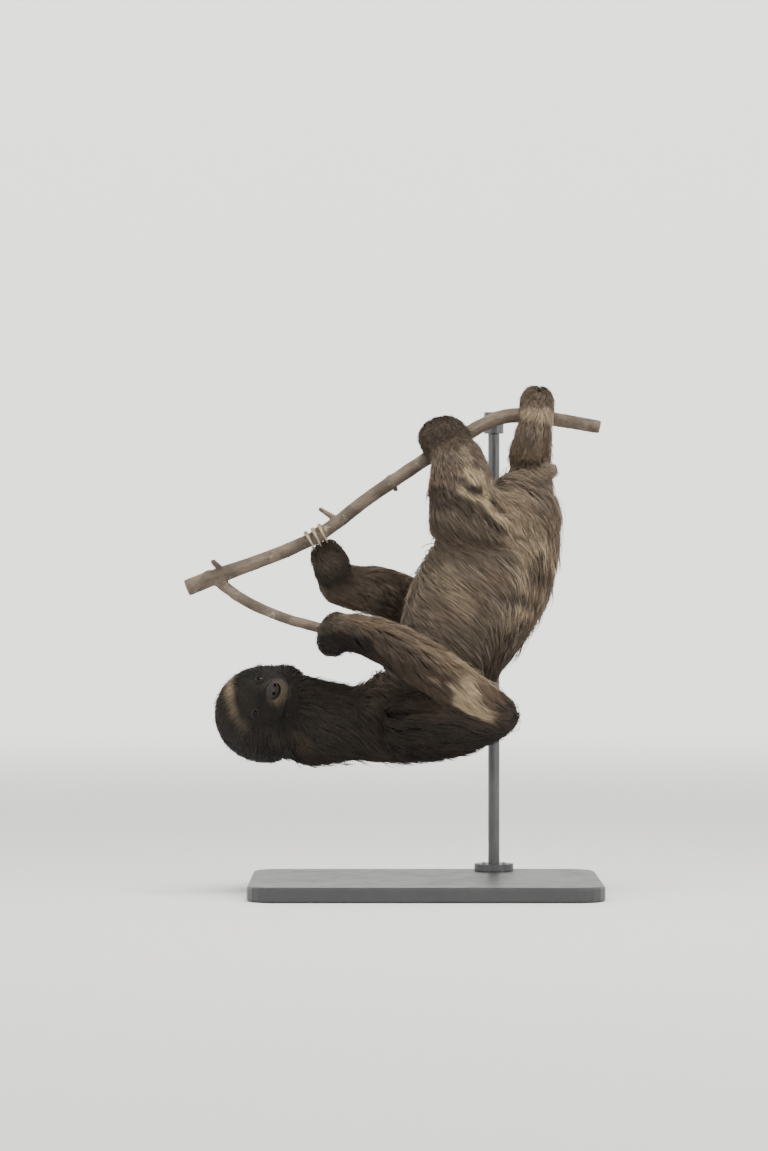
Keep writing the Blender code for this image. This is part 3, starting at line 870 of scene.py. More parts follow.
class Lock:
    """A kind of lock: where its rings are along it, and at each of them its width, its height
    over the skin and how strongly its clump draws it in; and the ring its marks drag towards."""

    CORNERS = 3

    def __init__(self, stages, taper, rise, pull, shown):
        self.stages, self.taper, self.rise = stages, taper, rise
        self.pull, self.shown = pull, shown
        self.rings = len(stages) - 1
        self.at_stage = [self.CORNERS] * self.rings + [1]
        self.points = sum(self.at_stage)

    def faces(self):
        """The triangles of one lock: a closed, three-sided blade that ends in a point."""
        faces = [(0, 1, 2)]
        for ring in range(self.rings):
            for corner in range(self.CORNERS):
                a = ring * self.CORNERS + corner
                b = ring * self.CORNERS + (corner + 1) % self.CORNERS
                if ring == self.rings - 1:
                    faces.append((b, a, self.points - 1))
                else:
                    faces.append((b, a, a + self.CORNERS))
                    faces.append((b, a + self.CORNERS, b + self.CORNERS))
        return np.array(faces)

    def sheet(self):
        """Where each point of a lock lies on its small patch, across it and along it."""
        places = []
        for stage in self.stages[:-1]:
            places += [(0.0, stage), (0.5, stage + 0.12), (1.0, stage)]
        places.append((0.5, 1.0))
        return (np.array(places) - 0.5) * BAKE_PATCH


LONG_LOCK = Lock((0.0, 0.30, 0.64, 1.0), (0.80, 1.0, 0.66), (-0.06, 0.58, 0.88, 1.0),
                 (0.0, 0.14, 0.35, 0.55), 2)
SHORT_LOCK = Lock((0.0, 0.46, 1.0), (0.90, 0.88), (-0.06, 0.74, 1.0), (0.0, 0.28, 0.55), 1)


class Hide:
    """The finished skin as arrays, with what the coat needs to know at each of its points."""

    def __init__(self, skin, belongs, owner, face, depth):
        self.points = points_of(skin.data)
        self.normals = normals_of(skin.data)
        self.triangles = triples(skin.data.polygons, "vertices", np.int32)
        self.owner = owner
        self.tree = BVHTree.FromPolygons(self.points.tolist(), self.triangles.tolist())
        lie = lie_of_coat(self.points, self.normals, belongs)
        sizes = [depth, *[coat_size(column, belongs, face) for column in (LENGTH, WIDTH)]]
        self.shares = np.stack([belongs[node] for node in FLESH], axis=1)
        self.fields = np.column_stack((self.normals, lie, *sizes))
        local = FACE.local(self.points)
        bare = np.zeros(len(self.points))
        for side in SIDES:
            bare = np.maximum(bare, 1.0 - ease(eye_place(local, side)[2], 1.25, 1.60))
        gap = mouth_gap(local)
        # Painted shade in the groove of the mouth.
        self.mouth_crease_shade = bell(gap, 0.0012)
        reach = np.linalg.norm((local - NOSE_LOCAL) / NOSE_BARE, axis=1)
        self.bare = strongest(bare, 1.0 - ease(gap, 0.0008, 0.0017), 1.0 - ease(reach, 0.95, 1.05))

    def sample(self, found):
        """The fields and shares at places found on the triangles, mixed from the corners."""
        places = np.array([hit[0] for hit in found], float)
        index = np.array([hit[2] for hit in found])
        corners = self.triangles[index]
        weights = corner_weights(places, self.points[corners])
        fields = weighed(weights, self.fields[corners])
        return places, fields, weighed(weights, self.shares[corners])


def weighed(weights, values):
    """Values at the corners of triangles, mixed by the weights of the corners."""
    return np.einsum("ij,ijk->ik", weights, values)


def corner_weights(places, corners):
    a, b = corners[:, 1] - corners[:, 0], corners[:, 2] - corners[:, 0]
    p = places - corners[:, 0]
    aa, ab, bb = np.sum(a * a, 1), np.sum(a * b, 1), np.sum(b * b, 1)
    pa, pb = np.sum(p * a, 1), np.sum(p * b, 1)
    spread = np.maximum(aa * bb - ab * ab, 1e-18)
    second = np.clip((bb * pa - ab * pb) / spread, 0.0, 1.0)
    third = np.clip((aa * pb - ab * pa) / spread, 0.0, 1.0)
    first = np.clip(1.0 - second - third, 0.0, 1.0)
    weights = np.column_stack((first, second, third))
    return weights / weights.sum(axis=1, keepdims=True)


# ---- the coat

# The flesh each piece of the coat grows on, the band of height it takes, how many locks it has
# and which kind they are.
ALL = (-1.0, 1.0)
COAT_PIECES = {
    "coat_head": (("head",), ALL, 19800, SHORT_LOCK),
    "coat_neck": (("neck",), ALL, 8000, LONG_LOCK),
    "coat_chest": (("trunk",), (-1.0, 0.285), 9500, LONG_LOCK),
    "coat_flank": (("trunk",), (0.285, 0.375), 11500, LONG_LOCK),
    "coat_rump": (("trunk",), (0.375, 1.0), 10500, LONG_LOCK),
    "coat_tail": (("tail",), ALL, 1500, LONG_LOCK),
}
for limb, parts in (("arm", LIMB_PARTS[:3]), ("leg", LIMB_PARTS[3:])):
    for side, count in (("left", 9500), ("right", 11500)):
        nodes = ["%s_%s" % (part, side) for part in parts]
        COAT_PIECES["coat_%s_%s" % (limb, side)] = (nodes, ALL, count, LONG_LOCK)


def unwrap(hide, faces):
    """These faces of the skin laid out flat on a sheet of their own, as places of their corners."""
    mesh = bpy.data.meshes.new("sheet")
    mesh.from_pydata(hide.points.tolist(), [], hide.triangles[faces].tolist())
    sheet = link("sheet", mesh)
    mesh.uv_layers.new(name="sheet")
    select_only(sheet)
    bpy.ops.object.mode_set(mode="EDIT")
    bpy.ops.mesh.select_all(action="SELECT")
    bpy.ops.uv.smart_project(angle_limit=math.radians(72.0), island_margin=0.003,
                             scale_to_bounds=True)
    bpy.ops.object.mode_set(mode="OBJECT")
    flat = np.empty(len(mesh.loops) * 2, np.float32)
    mesh.uv_layers[0].data.foreach_get("uv", flat)
    bpy.data.objects.remove(sheet)
    bpy.data.meshes.remove(mesh)
    return flat.reshape(-1, 3, 2)


def roots_on(hide, faces, count, rng):
    """Evenly spread roots on these faces, closer together where the locks are narrow."""
    corners = hide.points[hide.triangles[faces]]
    area = np.linalg.norm(np.cross(corners[:, 1] - corners[:, 0], corners[:, 2] - corners[:, 0]),
                          axis=1) / 2.0
    width = hide.fields[hide.triangles[faces], -1].mean(axis=1)
    bare = hide.bare[hide.triangles[faces]].max(axis=1)
    crowd = np.cumsum(area / width ** CROWDING * (bare < 0.5))
    steps = (np.arange(count) + rng.random(count)) * crowd[-1] / count
    index = np.minimum(np.searchsorted(crowd, steps), len(faces) - 1)
    first, second = rng.random((2, count))
    over = first + second > 1.0
    first[over], second[over] = 1.0 - first[over], 1.0 - second[over]
    weights = np.column_stack((1.0 - first - second, first, second))
    return index, weights


def clear_of_branch(places):
    """False for roots so close to the branch or a claw that a lock would pass through it."""
    held = {"perch_main": BRANCH_REACH, "perch_fork": BRANCH_REACH}
    held.update({claw: CLAW_REACH for paw in PAWS for claw in claws_of(paw)})
    clear = np.ones(len(places), bool)
    for node, reach in held.items():
        low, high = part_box(node)
        close = np.all((places > np.array(low) - 0.01) & (places < np.array(high) + 0.01), axis=1)
        if close.any():
            tree, near = tree_of(NODES[node].data), places[close]
            touching = distances(tree, near) < reach
            if reach == BRANCH_REACH:
                touching |= within(tree, near)
            clear[np.flatnonzero(close)] &= ~touching
    return clear


def comb(hide, roots, fields, lock, rng):
    """The line of each lock: from its root over the skin, along the lie of the coat."""
    count = len(roots)
    depth, length = fields[:, 6], fields[:, 7]
    length = length * rng.uniform(*LENGTH_SPREAD, count)
    lift = depth * (LOWEST_LIFT + LIFT_SPREAD * rng.random(count))
    stray = rng.random(count) < STRAY_SHARE
    lift[stray] *= STRAY_LIFT
    normals, heading = unit(fields[:, 0:3]), unit(fields[:, 3:6])
    drift = np.cross(normals, heading) * rng.normal(0.0, HEADING_SPREAD, count)[:, None]
    heading = unit(heading + drift)
    places, line, outward = roots, [roots + normals * (lock.rise[0] * depth)[:, None]], [normals]
    for stage in range(1, len(lock.stages)):
        step = (lock.stages[stage] - lock.stages[stage - 1]) * length
        ahead = places + heading * step[:, None]
        found = [hide.tree.find_nearest(place) for place in ahead.tolist()]
        places, met, shares = hide.sample(found)
        if stage == lock.shown:
            shown = shares
        normals = unit(met[:, 0:3])
        heading = unit(flatten(unit(met[:, 3:6]) + 0.8 * heading, normals))
        raised = (lock.rise[stage] * lift)[:, None]
        line.append(places + normals * raised)
        outward.append(normals)
    return np.stack(line, axis=1), np.stack(outward, axis=1), shown


def gather(line, length, lock, rng):
    """Draws neighbouring locks together towards their tips, short ones less; returns each
    lock's clump."""
    count = len(line)
    leaders = np.sort(rng.choice(count, max(count // LOCKS_PER_CLUMP, 1), replace=False))
    tree = numbered_tree(line[leaders, 1])
    clump = np.array([tree.find(place)[1] for place in line[:, 1].tolist()])
    shift = line[leaders][clump] - line
    reach = np.linalg.norm(shift, axis=2).max(axis=1)
    hold = rng.uniform(*CLUMP_HOLD, count) * (reach < CLUMP_REACH)
    hold = hold * (0.35 + 0.65 * ease(length, 0.012, 0.028))
    for stage, pull in enumerate(lock.pull):
        line[:, stage] += shift[:, stage] * np.clip(pull * hold, 0.0, 0.9)[:, None]
    return clump


def lock_mesh(name, line, outward, width, sheet_places, lock):
    """One closed, tapering lock along each line, all joined in one mesh."""
    count = len(line)
    along = unit(np.diff(line, axis=1))
    ridge = unit(flatten(outward[:, :-1], along))
    across = np.cross(along, ridge)
    half = (width[:, None] * np.array(lock.taper) / 2.0)[:, :, None]
    centre = line[:, :-1]
    rings = np.stack((centre + across * half, centre + ridge * half * 2.0 * LOCK_FLATNESS,
                      centre - across * half), axis=2)
    points = np.concatenate((rings.reshape(count, -1, 3), line[:, -1:]), axis=1)
    faces = lock.faces()
    corners = (faces[None] + (np.arange(count) * lock.points)[:, None, None]).ravel()
    mesh = bpy.data.meshes.new(name)
    mesh.vertices.add(count * lock.points)
    mesh.vertices.foreach_set("co", points.astype(np.float32).ravel())
    mesh.loops.add(len(corners))
    mesh.loops.foreach_set("vertex_index", corners.astype(np.int32))
    mesh.polygons.add(count * len(faces))
    mesh.polygons.foreach_set("loop_start", np.arange(0, len(corners), 3, dtype=np.int32))
    mesh.update(calc_edges=True)
    spread = np.clip(sheet_places[:, None, :] + lock.sheet()[faces.ravel()], 0.0, 1.0)
    layer = mesh.uv_layers.new(name="OFBake")
    layer.data.foreach_set("uv", spread.astype(np.float32).ravel())
    return mesh


def make_coat(hide, name, number, material):
    """One piece of the coat: thousands of thin locks over its part of the skin."""
    nodes, (low, high), count, lock = COAT_PIECES[name]
    rng = np.random.default_rng(100 + number)
    height = hide.points[hide.triangles].mean(axis=1)[:, 2]
    owners = hide.owner[hide.triangles[:, 0]]
    wanted = np.isin(owners, [FLESH.index(node) for node in nodes])
    faces = np.flatnonzero(wanted & (height >= low) & (height < high))
    sheet = unwrap(hide, faces)
    index, weights = roots_on(hide, faces, count, rng)
    corners = hide.triangles[faces[index]]
    roots = weighed(weights, hide.points[corners])
    kept = clear_of_branch(roots)
    index, weights, corners, roots = index[kept], weights[kept], corners[kept], roots[kept]
    fields = weighed(weights, hide.fields[corners])
    line, outward, shares = comb(hide, roots, fields, lock, rng)
    clump = gather(line, fields[:, 7], lock, rng)
    line[:, 1:] += rng.normal(0.0, RING_SPREAD, line[:, 1:].shape) * fields[:, None, 8:9]
    width = fields[:, 8] * rng.uniform(*WIDTH_SPREAD, len(roots))
    places = weighed(weights, sheet[index])
    mesh = lock_mesh(name, line, outward, width, places, lock)
    stages = len(lock.stages)
    edge = np.mean([haze(line[:, ring], MARK_GRAIN, 3) for ring in range(stages)], axis=0)
    seen = line + MARK_DRAG * (line[:, lock.shown, None] - line)
    belongs = dict(zip(FLESH, np.repeat(shares, stages, axis=0).T))
    marks = marks_at(seen.reshape(-1, 3), belongs, np.repeat(edge, stages))
    for key, values in zip(("pale", "dark", "brown"), marks):
        values = np.repeat(values.reshape(-1, stages), lock.at_stage, axis=1)
        store(mesh, key, values.ravel())
    clump_tone = rng.random(clump.max() + 1)[clump]
    tone = CLUMP_TONE * clump_tone + (1.0 - CLUMP_TONE) * rng.random(len(roots))
    store(mesh, "root", np.repeat(roots, lock.points, axis=0))
    store(mesh, "tone", np.repeat(tone, lock.points))
    store(mesh, "along", np.tile(np.repeat(lock.stages, lock.at_stage), len(roots)))
    finish_piece(link(name, mesh), material)


# ---- colours of skin and coat

HAIR_GREY = tint(134, 120, 106)
HAIR_WARM = tint(119, 101, 84)
HAIR_PALE = tint(184, 163, 134)
HAIR_DARK = tint(27, 23, 20)
HAIR_BROWN = tint(90, 71, 57)
HAIR_ALGAE = tint(116, 115, 90)
BARE_SKIN = tint(17, 14, 13)
BARE_SKIN_LIT = tint(34, 29, 26)


def coat_colour(finish, place, pale, dark, brown):
    """The markings that skin and coat share: grey-brown, with pale, dark and brown places."""
    mottle = finish.blotches(place, 26.0, 4.0, 0.36, 0.66)
    algae = finish.blotches(place, 9.0, 2.0, 0.56, 0.74) * 0.35
    return finish.layered(HAIR_GREY, (mottle, HAIR_WARM), (algae, HAIR_ALGAE),
                          (brown * 0.85, HAIR_BROWN), (dark, HAIR_DARK), (pale * 0.95, HAIR_PALE))


def hair_finish():
    finish = Finish("hair", Roughness=0.82, Sheen_Weight=0.03, Sheen_Roughness=0.6,
                    Specular_IOR_Level=0.18)
    place = finish.stored("root", "Vector")
    tone, along = finish.stored("tone"), finish.stored("along")
    pale = finish.stored("pale")
    colour = coat_colour(finish, place, pale, finish.stored("dark"), finish.stored("brown"))
    shade = (0.53 + tone * 0.48) * (0.64 + (along ** 0.7) * 0.40)
    shade = shade + (0.82 - shade) * (pale * 0.55)
    fine = finish.noise(place, 420.0, 2.0)
    shade = shade * (0.86 + fine * 0.28)
    return finish.drive(Base_Color=finish.scaled(colour, shade), Roughness=0.74 + tone * 0.16)


def skin_finish():
    finish = Finish("skin", Roughness=0.7, Specular_IOR_Level=0.18)
    place = finish.place()
    colour = coat_colour(finish, place, finish.stored("pale"), finish.stored("dark"),
                         finish.stored("brown"))
    fine = finish.noise(place, 900.0, 3.0)
    colour = finish.scaled(colour, 0.42 + fine * 0.36)
    bare = finish.stored("bare")
    # The mouth's crease is painted near-black as shade in its groove.
    leather = finish.layered(BARE_SKIN, (finish.noise(place, 300.0, 3.0), BARE_SKIN_LIT),
                             (finish.stored("mouth_crease_shade"), tint(8, 6, 6)))
    colour = finish.mix(bare, colour, leather)
    creases = finish.cells(place, 1500.0)
    height = fine * 0.5 + creases * bare * 0.6
    return finish.drive(Base_Color=colour, Roughness=0.85 - bare * 0.25,
                        Normal=finish.bump(height, 0.0004, 0.7))


# ---- eyes, nose and claws

def round_form(name, centre, half_sizes, segments, rings):
    """A fine round form turned to the face's own directions."""
    bpy.ops.mesh.primitive_uv_sphere_add(segments=segments, ring_count=rings, radius=1.0)
    piece = bpy.context.view_layer.objects.active
    piece.name = piece.data.name = name
    set_points(piece.data, (points_of(piece.data) * half_sizes) @ FACE.axes + np.array(centre))
    turn_outwards(piece.data)
    return piece


def eye_finish(name, centre, look):
    """A dark brown iris round a black pupil, under one glossy surface."""
    finish = Finish(name, Roughness=0.06, Specular_IOR_Level=0.13)
    offset = finish.vectors("SUBTRACT", [finish.place(), tuple(centre)])
    facing = finish.vectors("DOT_PRODUCT", [offset, tuple(look)], "Value")
    share = facing * (1.0 / EYE_RADIUS)
    fibres = finish.grain(finish.place(), (900.0, 900.0, 900.0), 2.0)
    iris = finish.mix(fibres, tint(24, 14, 9), tint(46, 28, 17))
    return finish.drive(Base_Color=finish.layered(
        tint(24, 18, 15), (finish.between(share, 0.62, 0.70), iris),
        (finish.between(share, 0.80, 0.84), tint(5, 4, 4))))


def make_eyes():
    for side in SIDES:
        look, centre = eye_directions(side)[0] @ FACE.axes, middle("eye_" + side)
        half_sizes = (EYE_RADIUS * EYEBALL_SHARE,) * 3
        eye = round_form("eyeball_" + side, centre, half_sizes, 64, 48)
        finish_piece(eye, eye_finish("eye_" + side, centre, look))
        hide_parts("eye_" + side)


NOSE_HALF_SIZES = (0.0104, 0.0062, 0.0070)
NOSE_FRONT, NOSE_FLATTENED = 0.003, 0.38
NOSTRIL_ASIDE, NOSTRIL_DEPTH, NOSTRIL_SIZE = 0.0052, 0.0056, 0.0014


def make_nose():
    """The broad dark pad of the nose, with a nostril opening on each side."""
    pad = round_form("nose_pad", middle("nose"), NOSE_HALF_SIZES, 96, 72)
    local = FACE.local(points_of(pad.data)) - NOSE_LOCAL
    proud = np.maximum(local[:, 1] - NOSE_FRONT, 0.0)
    local[:, 1] -= proud * NOSE_FLATTENED
    local[:, 0] *= 1.0 + 16.0 * local[:, 2]
    front = ease(local[:, 1], 0.0, NOSE_FRONT)
    for sign in (-1.0, 1.0):
        aside = (local[:, 0] - sign * NOSTRIL_ASIDE) * sign
        spread = np.hypot(aside / 1.35, local[:, 2] + 0.0012 - 0.35 * aside)
        local[:, 1] -= NOSTRIL_DEPTH * np.exp(-(spread / NOSTRIL_SIZE) ** 4) * front
        local[:, 1] += 0.0006 * bell(spread - 0.0024, 0.0008) * front
    cleft = bell(local[:, 0], 0.0007) * ease(-local[:, 2], -0.003, 0.003)
    local[:, 1] -= 0.0011 * cleft
    set_points(pad.data, FACE.world(local + NOSE_LOCAL))
    finish = Finish("nose_leather", Roughness=0.5, Specular_IOR_Level=0.2)
    grain = finish.cells(finish.place(), 1100.0)
    shade = finish.noise(finish.place(), 260.0, 3.0)
    finish.drive(Base_Color=finish.mix(shade, tint(20, 16, 15), tint(42, 34, 31)),
                 Roughness=0.40 + shade * 0.25, Normal=finish.bump(grain, 0.0004, 0.8))
    finish_piece(pad, finish.material)
    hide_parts("nose")


CLAW_VOXEL = 0.0008
CRUMB = 60


def drop_crumbs(piece):
    """Takes away the few-faced crumbs that a remesh leaves beside a thin tip."""
    with edited(piece.data) as work:
        left = set(work.verts)
        while left:
            island, rim = set(), [left.pop()]
            while rim:
                point = rim.pop()
                island.add(point)
                near = {edge.other_vert(point) for edge in point.link_edges} & left
                left -= near
                rim += near
            if len(island) < CRUMB:
                bmesh.ops.delete(work, geom=list(island), context="VERTS")


def claw_finish():
    """Horn: pale streaks along the claw, and darker stains in blotches."""
    finish = Finish("claw_horn", Roughness=0.38, Coat_Weight=0.15)
    place = finish.place()
    streaks = finish.grain(place, (900.0, 60.0, 60.0), 4.0)
    stain = finish.blotches(place, 55.0, 3.0, 0.40, 0.68)
    colour = finish.layered(tint(98, 82, 62), (streaks, tint(168, 150, 120)),
                            (stain * 0.6, tint(62, 50, 40)))
    return finish.drive(Base_Color=colour, Roughness=0.28 + streaks * 0.3,
                        Normal=finish.bump(streaks, 0.0003, 0.6))


def make_claws():
    horn = claw_finish()
    for paw in PAWS:
        nodes = claws_of(paw)
        claws = joined("claws_" + paw, [merged_copy(node) for node in nodes])
        apply_modifier(claws, "SUBSURF", levels=1, render_levels=1)
        apply_modifier(claws, "REMESH", mode="VOXEL", voxel_size=CLAW_VOXEL)
        drop_crumbs(claws)
        apply_modifier(claws, "SMOOTH", factor=0.5, iterations=3)
        finish_piece(claws, horn)
        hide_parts(*nodes)


# ---- the branch

BARK_VOXEL = 0.0017
BARK_THICKNESS, BARK_RELIEF = 0.0004, 0.0007
SAWN_REACH = 0.012
KNOT_OUT, STUB_SUNK = 0.008, 0.008
KNOTS = (
    # share along the branch's length, angle round it, radius, height
    (0.07, 60.0, 0.0045, 0.0030), (0.17, 200.0, 0.0040, 0.0022), (0.31, 100.0, 0.0050, 0.0034),
    (0.42, 300.0, 0.0040, 0.0026), (0.55, 150.0, 0.0045, 0.0026), (0.70, 20.0, 0.0040, 0.0030),
    (0.93, 120.0, 0.0045, 0.0030),
)
TWIG_STUBS = (
    # share along the branch, direction, length, radius
    (0.11, (-0.55, -0.55, 0.62), 0.017, 0.0030),
    (0.38, (-0.75, 0.45, 0.48), 0.024, 0.0028),
    (0.50, (0.35, 0.60, -0.72), 0.015, 0.0032),
    (0.95, (0.70, -0.45, 0.55), 0.013, 0.0026),
)


def twig_stub(line, share, direction, length, radius):
    """A short side twig, cut off square, that grows out of the branch."""
    at = Vector(line[int(share * (len(line) - 1))])
    way = Vector(direction).normalized()
    bpy.ops.mesh.primitive_cone_add(vertices=14, radius1=radius * 1.5, radius2=radius * 0.85,
                                    depth=length + STUB_SUNK)
    stub = bpy.context.view_layer.objects.active
    stub.data.transform(stood_on(at + way * (length + STUB_SUNK) / 2.0, way))
    stub.matrix_world = Matrix.Identity(4)
    return stub


def make_branch():
    """The forked branch with low knots, long ridges in its bark and sawn ends."""
    line = middle_line("perch_main", 26)
    stubs = [twig_stub(line, *stub) for stub in TWIG_STUBS]
    branch = joined("branch", [merged_copy("perch_main"), merged_copy("perch_fork"), *stubs])
    apply_modifier(branch, "DISPLACE", strength=BARK_THICKNESS, mid_level=0.0)
    apply_modifier(branch, "REMESH", mode="VOXEL", voxel_size=BARK_VOXEL)
    apply_modifier(branch, "SMOOTH", factor=0.5, iterations=3)
    points, normals = points_of(branch.data), normals_of(branch.data)
    relief = haze(points * (0.35, 1.0, 0.8), 0.006, 11) * 0.5 + haze(points, 0.016, 12) * 0.5
    points = points + normals * (relief * BARK_RELIEF)[:, None]
    for share, angle, radius, height in KNOTS:
        at = line[int(share * (len(line) - 1))]
        turn = math.radians(angle)
        middle_of_knot = at + np.array((0.0, math.cos(turn), math.sin(turn))) * KNOT_OUT
        reach = np.linalg.norm(points - middle_of_knot, axis=1) / radius
        bump = np.exp(-reach ** 2) - 0.55 * bell(reach, 0.42)
        points = points + normals * (height * bump)[:, None]
    set_points(branch.data, points)
    run = unit(np.gradient(line, axis=0))
    tree = numbered_tree(line)
    nearest = np.array([tree.find(place)[1] for place in points.tolist()])
    sawn = np.abs(np.sum(normals_of(branch.data) * run[nearest], axis=1))
    at_end = (points[:, 0] < line[0, 0] + SAWN_REACH) | (points[:, 0] > line[-1, 0] - SAWN_REACH)
    store(branch.data, "sawn", ease(sawn, 0.72, 0.92) * at_end)
    finish_piece(branch, bark_finish())
    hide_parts("perch_main", "perch_fork")


def bark_finish():
    finish = Finish("bark", Roughness=0.85)
    place = finish.place()
    long_grain = finish.grain(place, (60.0, 420.0, 300.0), 5.0)
    blotch = finish.blotches(place, 42.0, 4.0, 0.38, 0.62)
    specks = finish.between(finish.cells(place, 260.0), 0.10, 0.24)
    lichen = finish.blotches(place, 70.0, 5.0, 0.60, 0.70, 0.7)
    colour = finish.layered(tint(78, 68, 58), (blotch, tint(112, 98, 84)),
                            (long_grain * 0.6, tint(52, 43, 36)),
                            ((1.0 - specks) * 0.5, tint(62, 51, 43)),
                            (lichen * 0.5, tint(150, 152, 134)))
    sawn = finish.stored("sawn")
    wood = finish.mix(finish.noise(place, 700.0, 2.0), tint(178, 146, 104), tint(206, 176, 132))
    height = long_grain + (1.0 - specks) * 0.4 + lichen * 0.3
    return finish.drive(Base_Color=finish.mix(sawn, colour, wood), Roughness=0.9 - lichen * 0.1,
                        Normal=finish.bump(height * (1.0 - sawn), 0.0011, 0.9))


# ---- the stand

def paint_finish():
    finish = Finish("base_paint", Roughness=0.5)
    place = finish.place()
    orange_peel = finish.noise(place, 620.0, 2.0)
    dust = finish.blotches(place, 34.0, 6.0, 0.40, 0.80, 0.65)
    colour = finish.mix(dust * 0.20, tint(44, 44, 46), tint(62, 61, 61))
    return finish.drive(Base_Color=colour, Roughness=0.42 + dust * 0.12,
                        Normal=finish.bump(orange_peel, 0.0002, 0.5))


def steel_finish(name, factors):
    """Brushed steel whose fine scratches run along the axis with the smallest factor."""
    finish = Finish(name, Metallic=1.0, Roughness=0.44)
    place = finish.place()
    brushed = finish.grain(place, factors, 3.0)
    smear = finish.blotches(place, 22.0, 3.0, 0.4, 0.7)
    colour = finish.mix(brushed, tint(70, 70, 72), tint(104, 104, 106))
    return finish.drive(Base_Color=colour, Roughness=0.36 + brushed * 0.16 + smear * 0.08,
                        Normal=finish.bump(brushed, 0.00008, 0.5))


SCREW_RADIUS, SCREW_HEIGHT, SCREW_RING = 0.0026, 0.0016, 0.72


def make_screws():
    """Four socket screws that hold the flange to the base, and one in the collar."""
    low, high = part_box("stand_flange")
    centre, ring = (low + high) / 2.0, (high.x - low.x) / 2.0 * SCREW_RING
    screws = []
    for number in range(4):
        turn = math.radians(45.0 + 90.0 * number)
        aside = Vector((math.cos(turn), math.sin(turn), 0.0)) * ring
        place = Vector((centre.x, centre.y, high.z)) + aside
        screws.append(screw_head(place, Vector((0.0, 0.0, 1.0))))
    collar = middle("stand_collar")
    collar.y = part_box("stand_collar")[1].y - 0.0002
    screws.append(screw_head(collar, Vector((0.0, 1.0, 0.0))))
    piece = joined("stand_screws", screws)
    finish_piece(piece, steel_finish("screw_steel", (900.0, 900.0, 900.0)))
    select_only(piece)
    bpy.ops.object.shade_smooth_by_angle(angle=math.radians(35.0))


def screw_head(place, out):
    """A button head with a round socket sunk into it."""
    bpy.ops.mesh.primitive_cylinder_add(vertices=24, radius=SCREW_RADIUS, depth=SCREW_HEIGHT)
    piece = bpy.context.view_layer.objects.active
    with edited(piece.data) as work:
        top = [f for f in work.faces if f.normal.z > 0.9]
        bmesh.ops.bevel(work, geom=list(top[0].edges), offset=SCREW_HEIGHT * 0.35, segments=3,
                        affect="EDGES", profile=0.6)
        top = [f for f in work.faces if f.normal.z > 0.99]
        bmesh.ops.inset_region(work, faces=top, thickness=SCREW_RADIUS * 0.38)
        sunk = [f for f in work.faces
                if f.normal.z > 0.99 and f.calc_area() < SCREW_RADIUS ** 2 * 2.0]
        sunk = [min(sunk, key=lambda f: f.calc_center_median().xy.length)]
        pushed = bmesh.ops.extrude_discrete_faces(work, faces=sunk)["faces"]
        bmesh.ops.translate(work, verts=list({v for f in pushed for v in f.verts}),
                            vec=(0.0, 0.0, -SCREW_HEIGHT * 0.55))
        bmesh.ops.transform(work, matrix=stood_on(place, out), verts=work.verts)
    return piece


def dress_stand():
    """New finishes in the material slots of the stand's nodes, and its screws."""
    steel = steel_finish("rod_steel", (900.0, 900.0, 40.0))
    finishes = {"stand_base": paint_finish(), "stand_rod": steel, "stand_collar": steel,
                "stand_flange": steel,
                "stand_arm": steel_finish("arm_steel", (900.0, 40.0, 900.0))}
    for node, material in finishes.items():
        for slot in NODES[node].material_slots:
            slot.material = material
    make_screws()


# ---- floor, light and camera

VIEW_CENTRE = Vector((-0.0492, 0.0, 0.381))
VIEW_HEIGHT = 1.3812
CAMERA_DISTANCE = 5.0
SENSOR = 36.0
BACKDROP_GLOW = 1.05
FLOOR_REACH, CURVE, WALL_TOP = 5.0, 2.5, 5.5
STUDIO_WHITE = (1.0, 0.985, 0.96)
LIGHT_AIM = (-0.02, 0.0, 0.36)
LIGHTS = (
    # name, place, size, power, colour
    ("overhead", (0.15, -0.45, 2.3), (1.6, 1.2), 74.0, STUDIO_WHITE),
    ("front_right", (1.7, -2.0, 1.5), (1.2, 1.2), 19.0, (1.0, 1.0, 1.0)),
    ("front_left", (-2.0, -1.8, 1.1), (1.4, 1.4), 6.0, (0.94, 0.97, 1.0)),
)


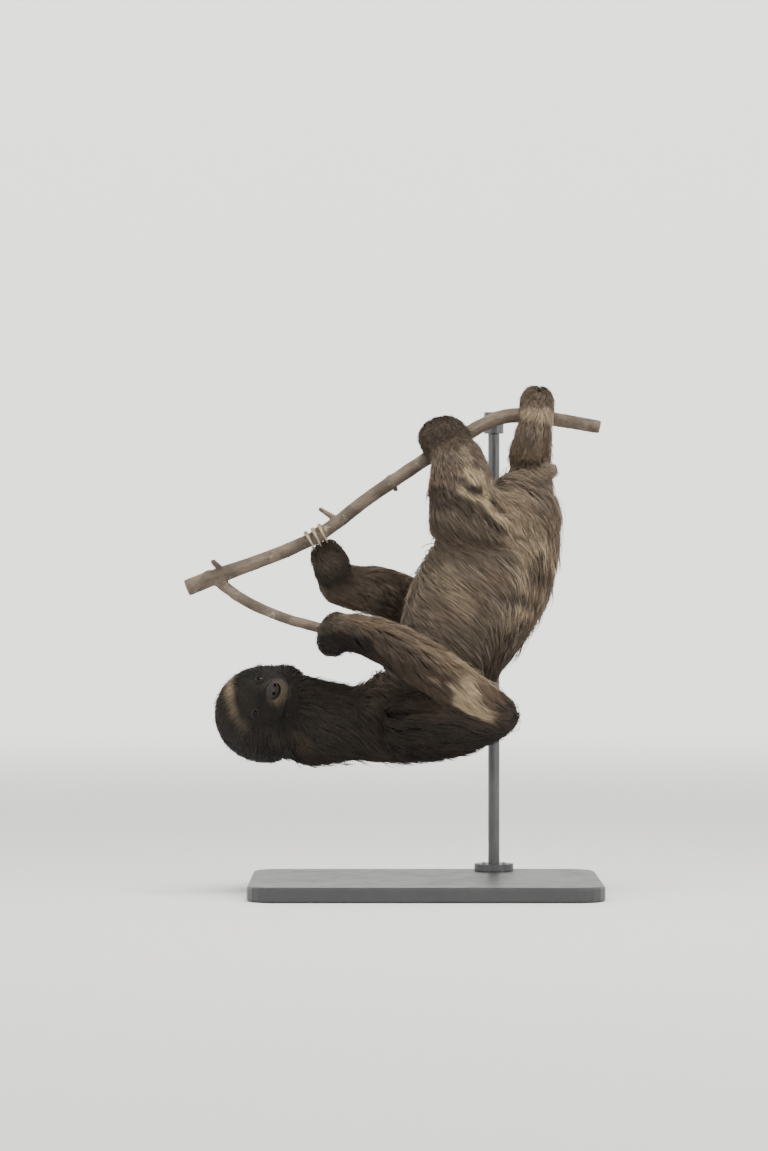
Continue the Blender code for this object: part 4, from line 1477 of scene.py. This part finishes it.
def make_stage():
    """A wide pale floor that curves up, far off and all round, into a softly glowing wall."""
    profile = [(0.01, 0.0), (1.2, 0.0), (3.0, 0.0), (FLOOR_REACH, 0.0)]
    profile += [(FLOOR_REACH + CURVE * math.sin(a), CURVE - CURVE * math.cos(a))
                for a in np.radians(np.arange(7.5, 90.1, 7.5))]
    profile.append((FLOOR_REACH + CURVE, WALL_TOP))
    turns = np.radians(np.arange(0.0, 360.0, 5.0))
    points = [(r * math.cos(t), r * math.sin(t), z) for r, z in profile for t in turns]
    faces = [tuple(range(len(turns))), *ring_faces(len(profile) - 1, len(profile), len(turns))]
    mesh = bpy.data.meshes.new("floor")
    mesh.from_pydata(points, [], [face[::-1] for face in faces])
    floor = link("floor", mesh)
    mesh.shade_smooth()
    finish = Finish("floor_paper", Roughness=0.9)
    fibre = finish.noise(finish.place(), 60.0, 4.0)
    colour = finish.mix(fibre, tint(226, 226, 224), tint(234, 234, 232))
    reach = finish.vectors("LENGTH", [finish.place()], "Value")
    glow = finish.mix(finish.between(reach, 0.8, 5.5), tint(0, 0, 0), tint(255, 255, 252))
    finish.shader.inputs["Emission Strength"].default_value = BACKDROP_GLOW
    finish.drive(Base_Color=colour, Emission_Color=glow)
    mesh.materials.append(finish.material)


def make_lights():
    world = bpy.data.worlds.new("studio")
    bpy.context.scene.world = world
    world.use_nodes = True
    background = world.node_tree.nodes["Background"]
    background.inputs["Color"].default_value = (*STUDIO_WHITE, 1.0)
    background.inputs["Strength"].default_value = 0.45
    for name, place, size, power, colour in LIGHTS:
        light = bpy.data.lights.new(name, "AREA")
        light.shape = "RECTANGLE"
        light.size, light.size_y = size
        light.energy, light.color = power, colour
        lamp = bpy.data.objects.new(name, light)
        bpy.context.scene.collection.objects.link(lamp)
        lamp.location = place
        way = Vector(LIGHT_AIM) - Vector(place)
        lamp.rotation_euler = way.to_track_quat("-Z", "Y").to_euler()


def make_camera():
    camera = bpy.data.objects.new("camera", bpy.data.cameras.new("camera"))
    bpy.context.scene.collection.objects.link(camera)
    camera.location = VIEW_CENTRE - Vector((0.0, CAMERA_DISTANCE, 0.0))
    camera.rotation_euler = (math.radians(90.0), 0.0, 0.0)
    camera.data.sensor_width = SENSOR
    camera.data.lens = SENSOR * CAMERA_DISTANCE / VIEW_HEIGHT
    bpy.context.scene.camera = camera


def dress_skin(skin, hide):
    edge = haze(hide.points, MARK_GRAIN, 3)
    belongs = dict(zip(FLESH, hide.shares.T))
    marks = marks_at(hide.points, belongs, edge)
    for key, values in zip(("pale", "dark", "brown", "bare", "mouth_crease_shade"),
                           (*marks, hide.bare, hide.mouth_crease_shade)):
        store(skin.data, key, values)
    joined("skin", [skin, *[lids(side) for side in SIDES]])
    finish_piece(skin, skin_finish())


make_camera()
make_stage()
make_lights()
skin, *facts = make_skin()
hide = Hide(skin, *facts)
dress_skin(skin, hide)
hair = hair_finish()
for number, name in enumerate(COAT_PIECES):
    make_coat(hide, name, number, hair)
make_eyes()
make_nose()
make_claws()
make_branch()
dress_stand()
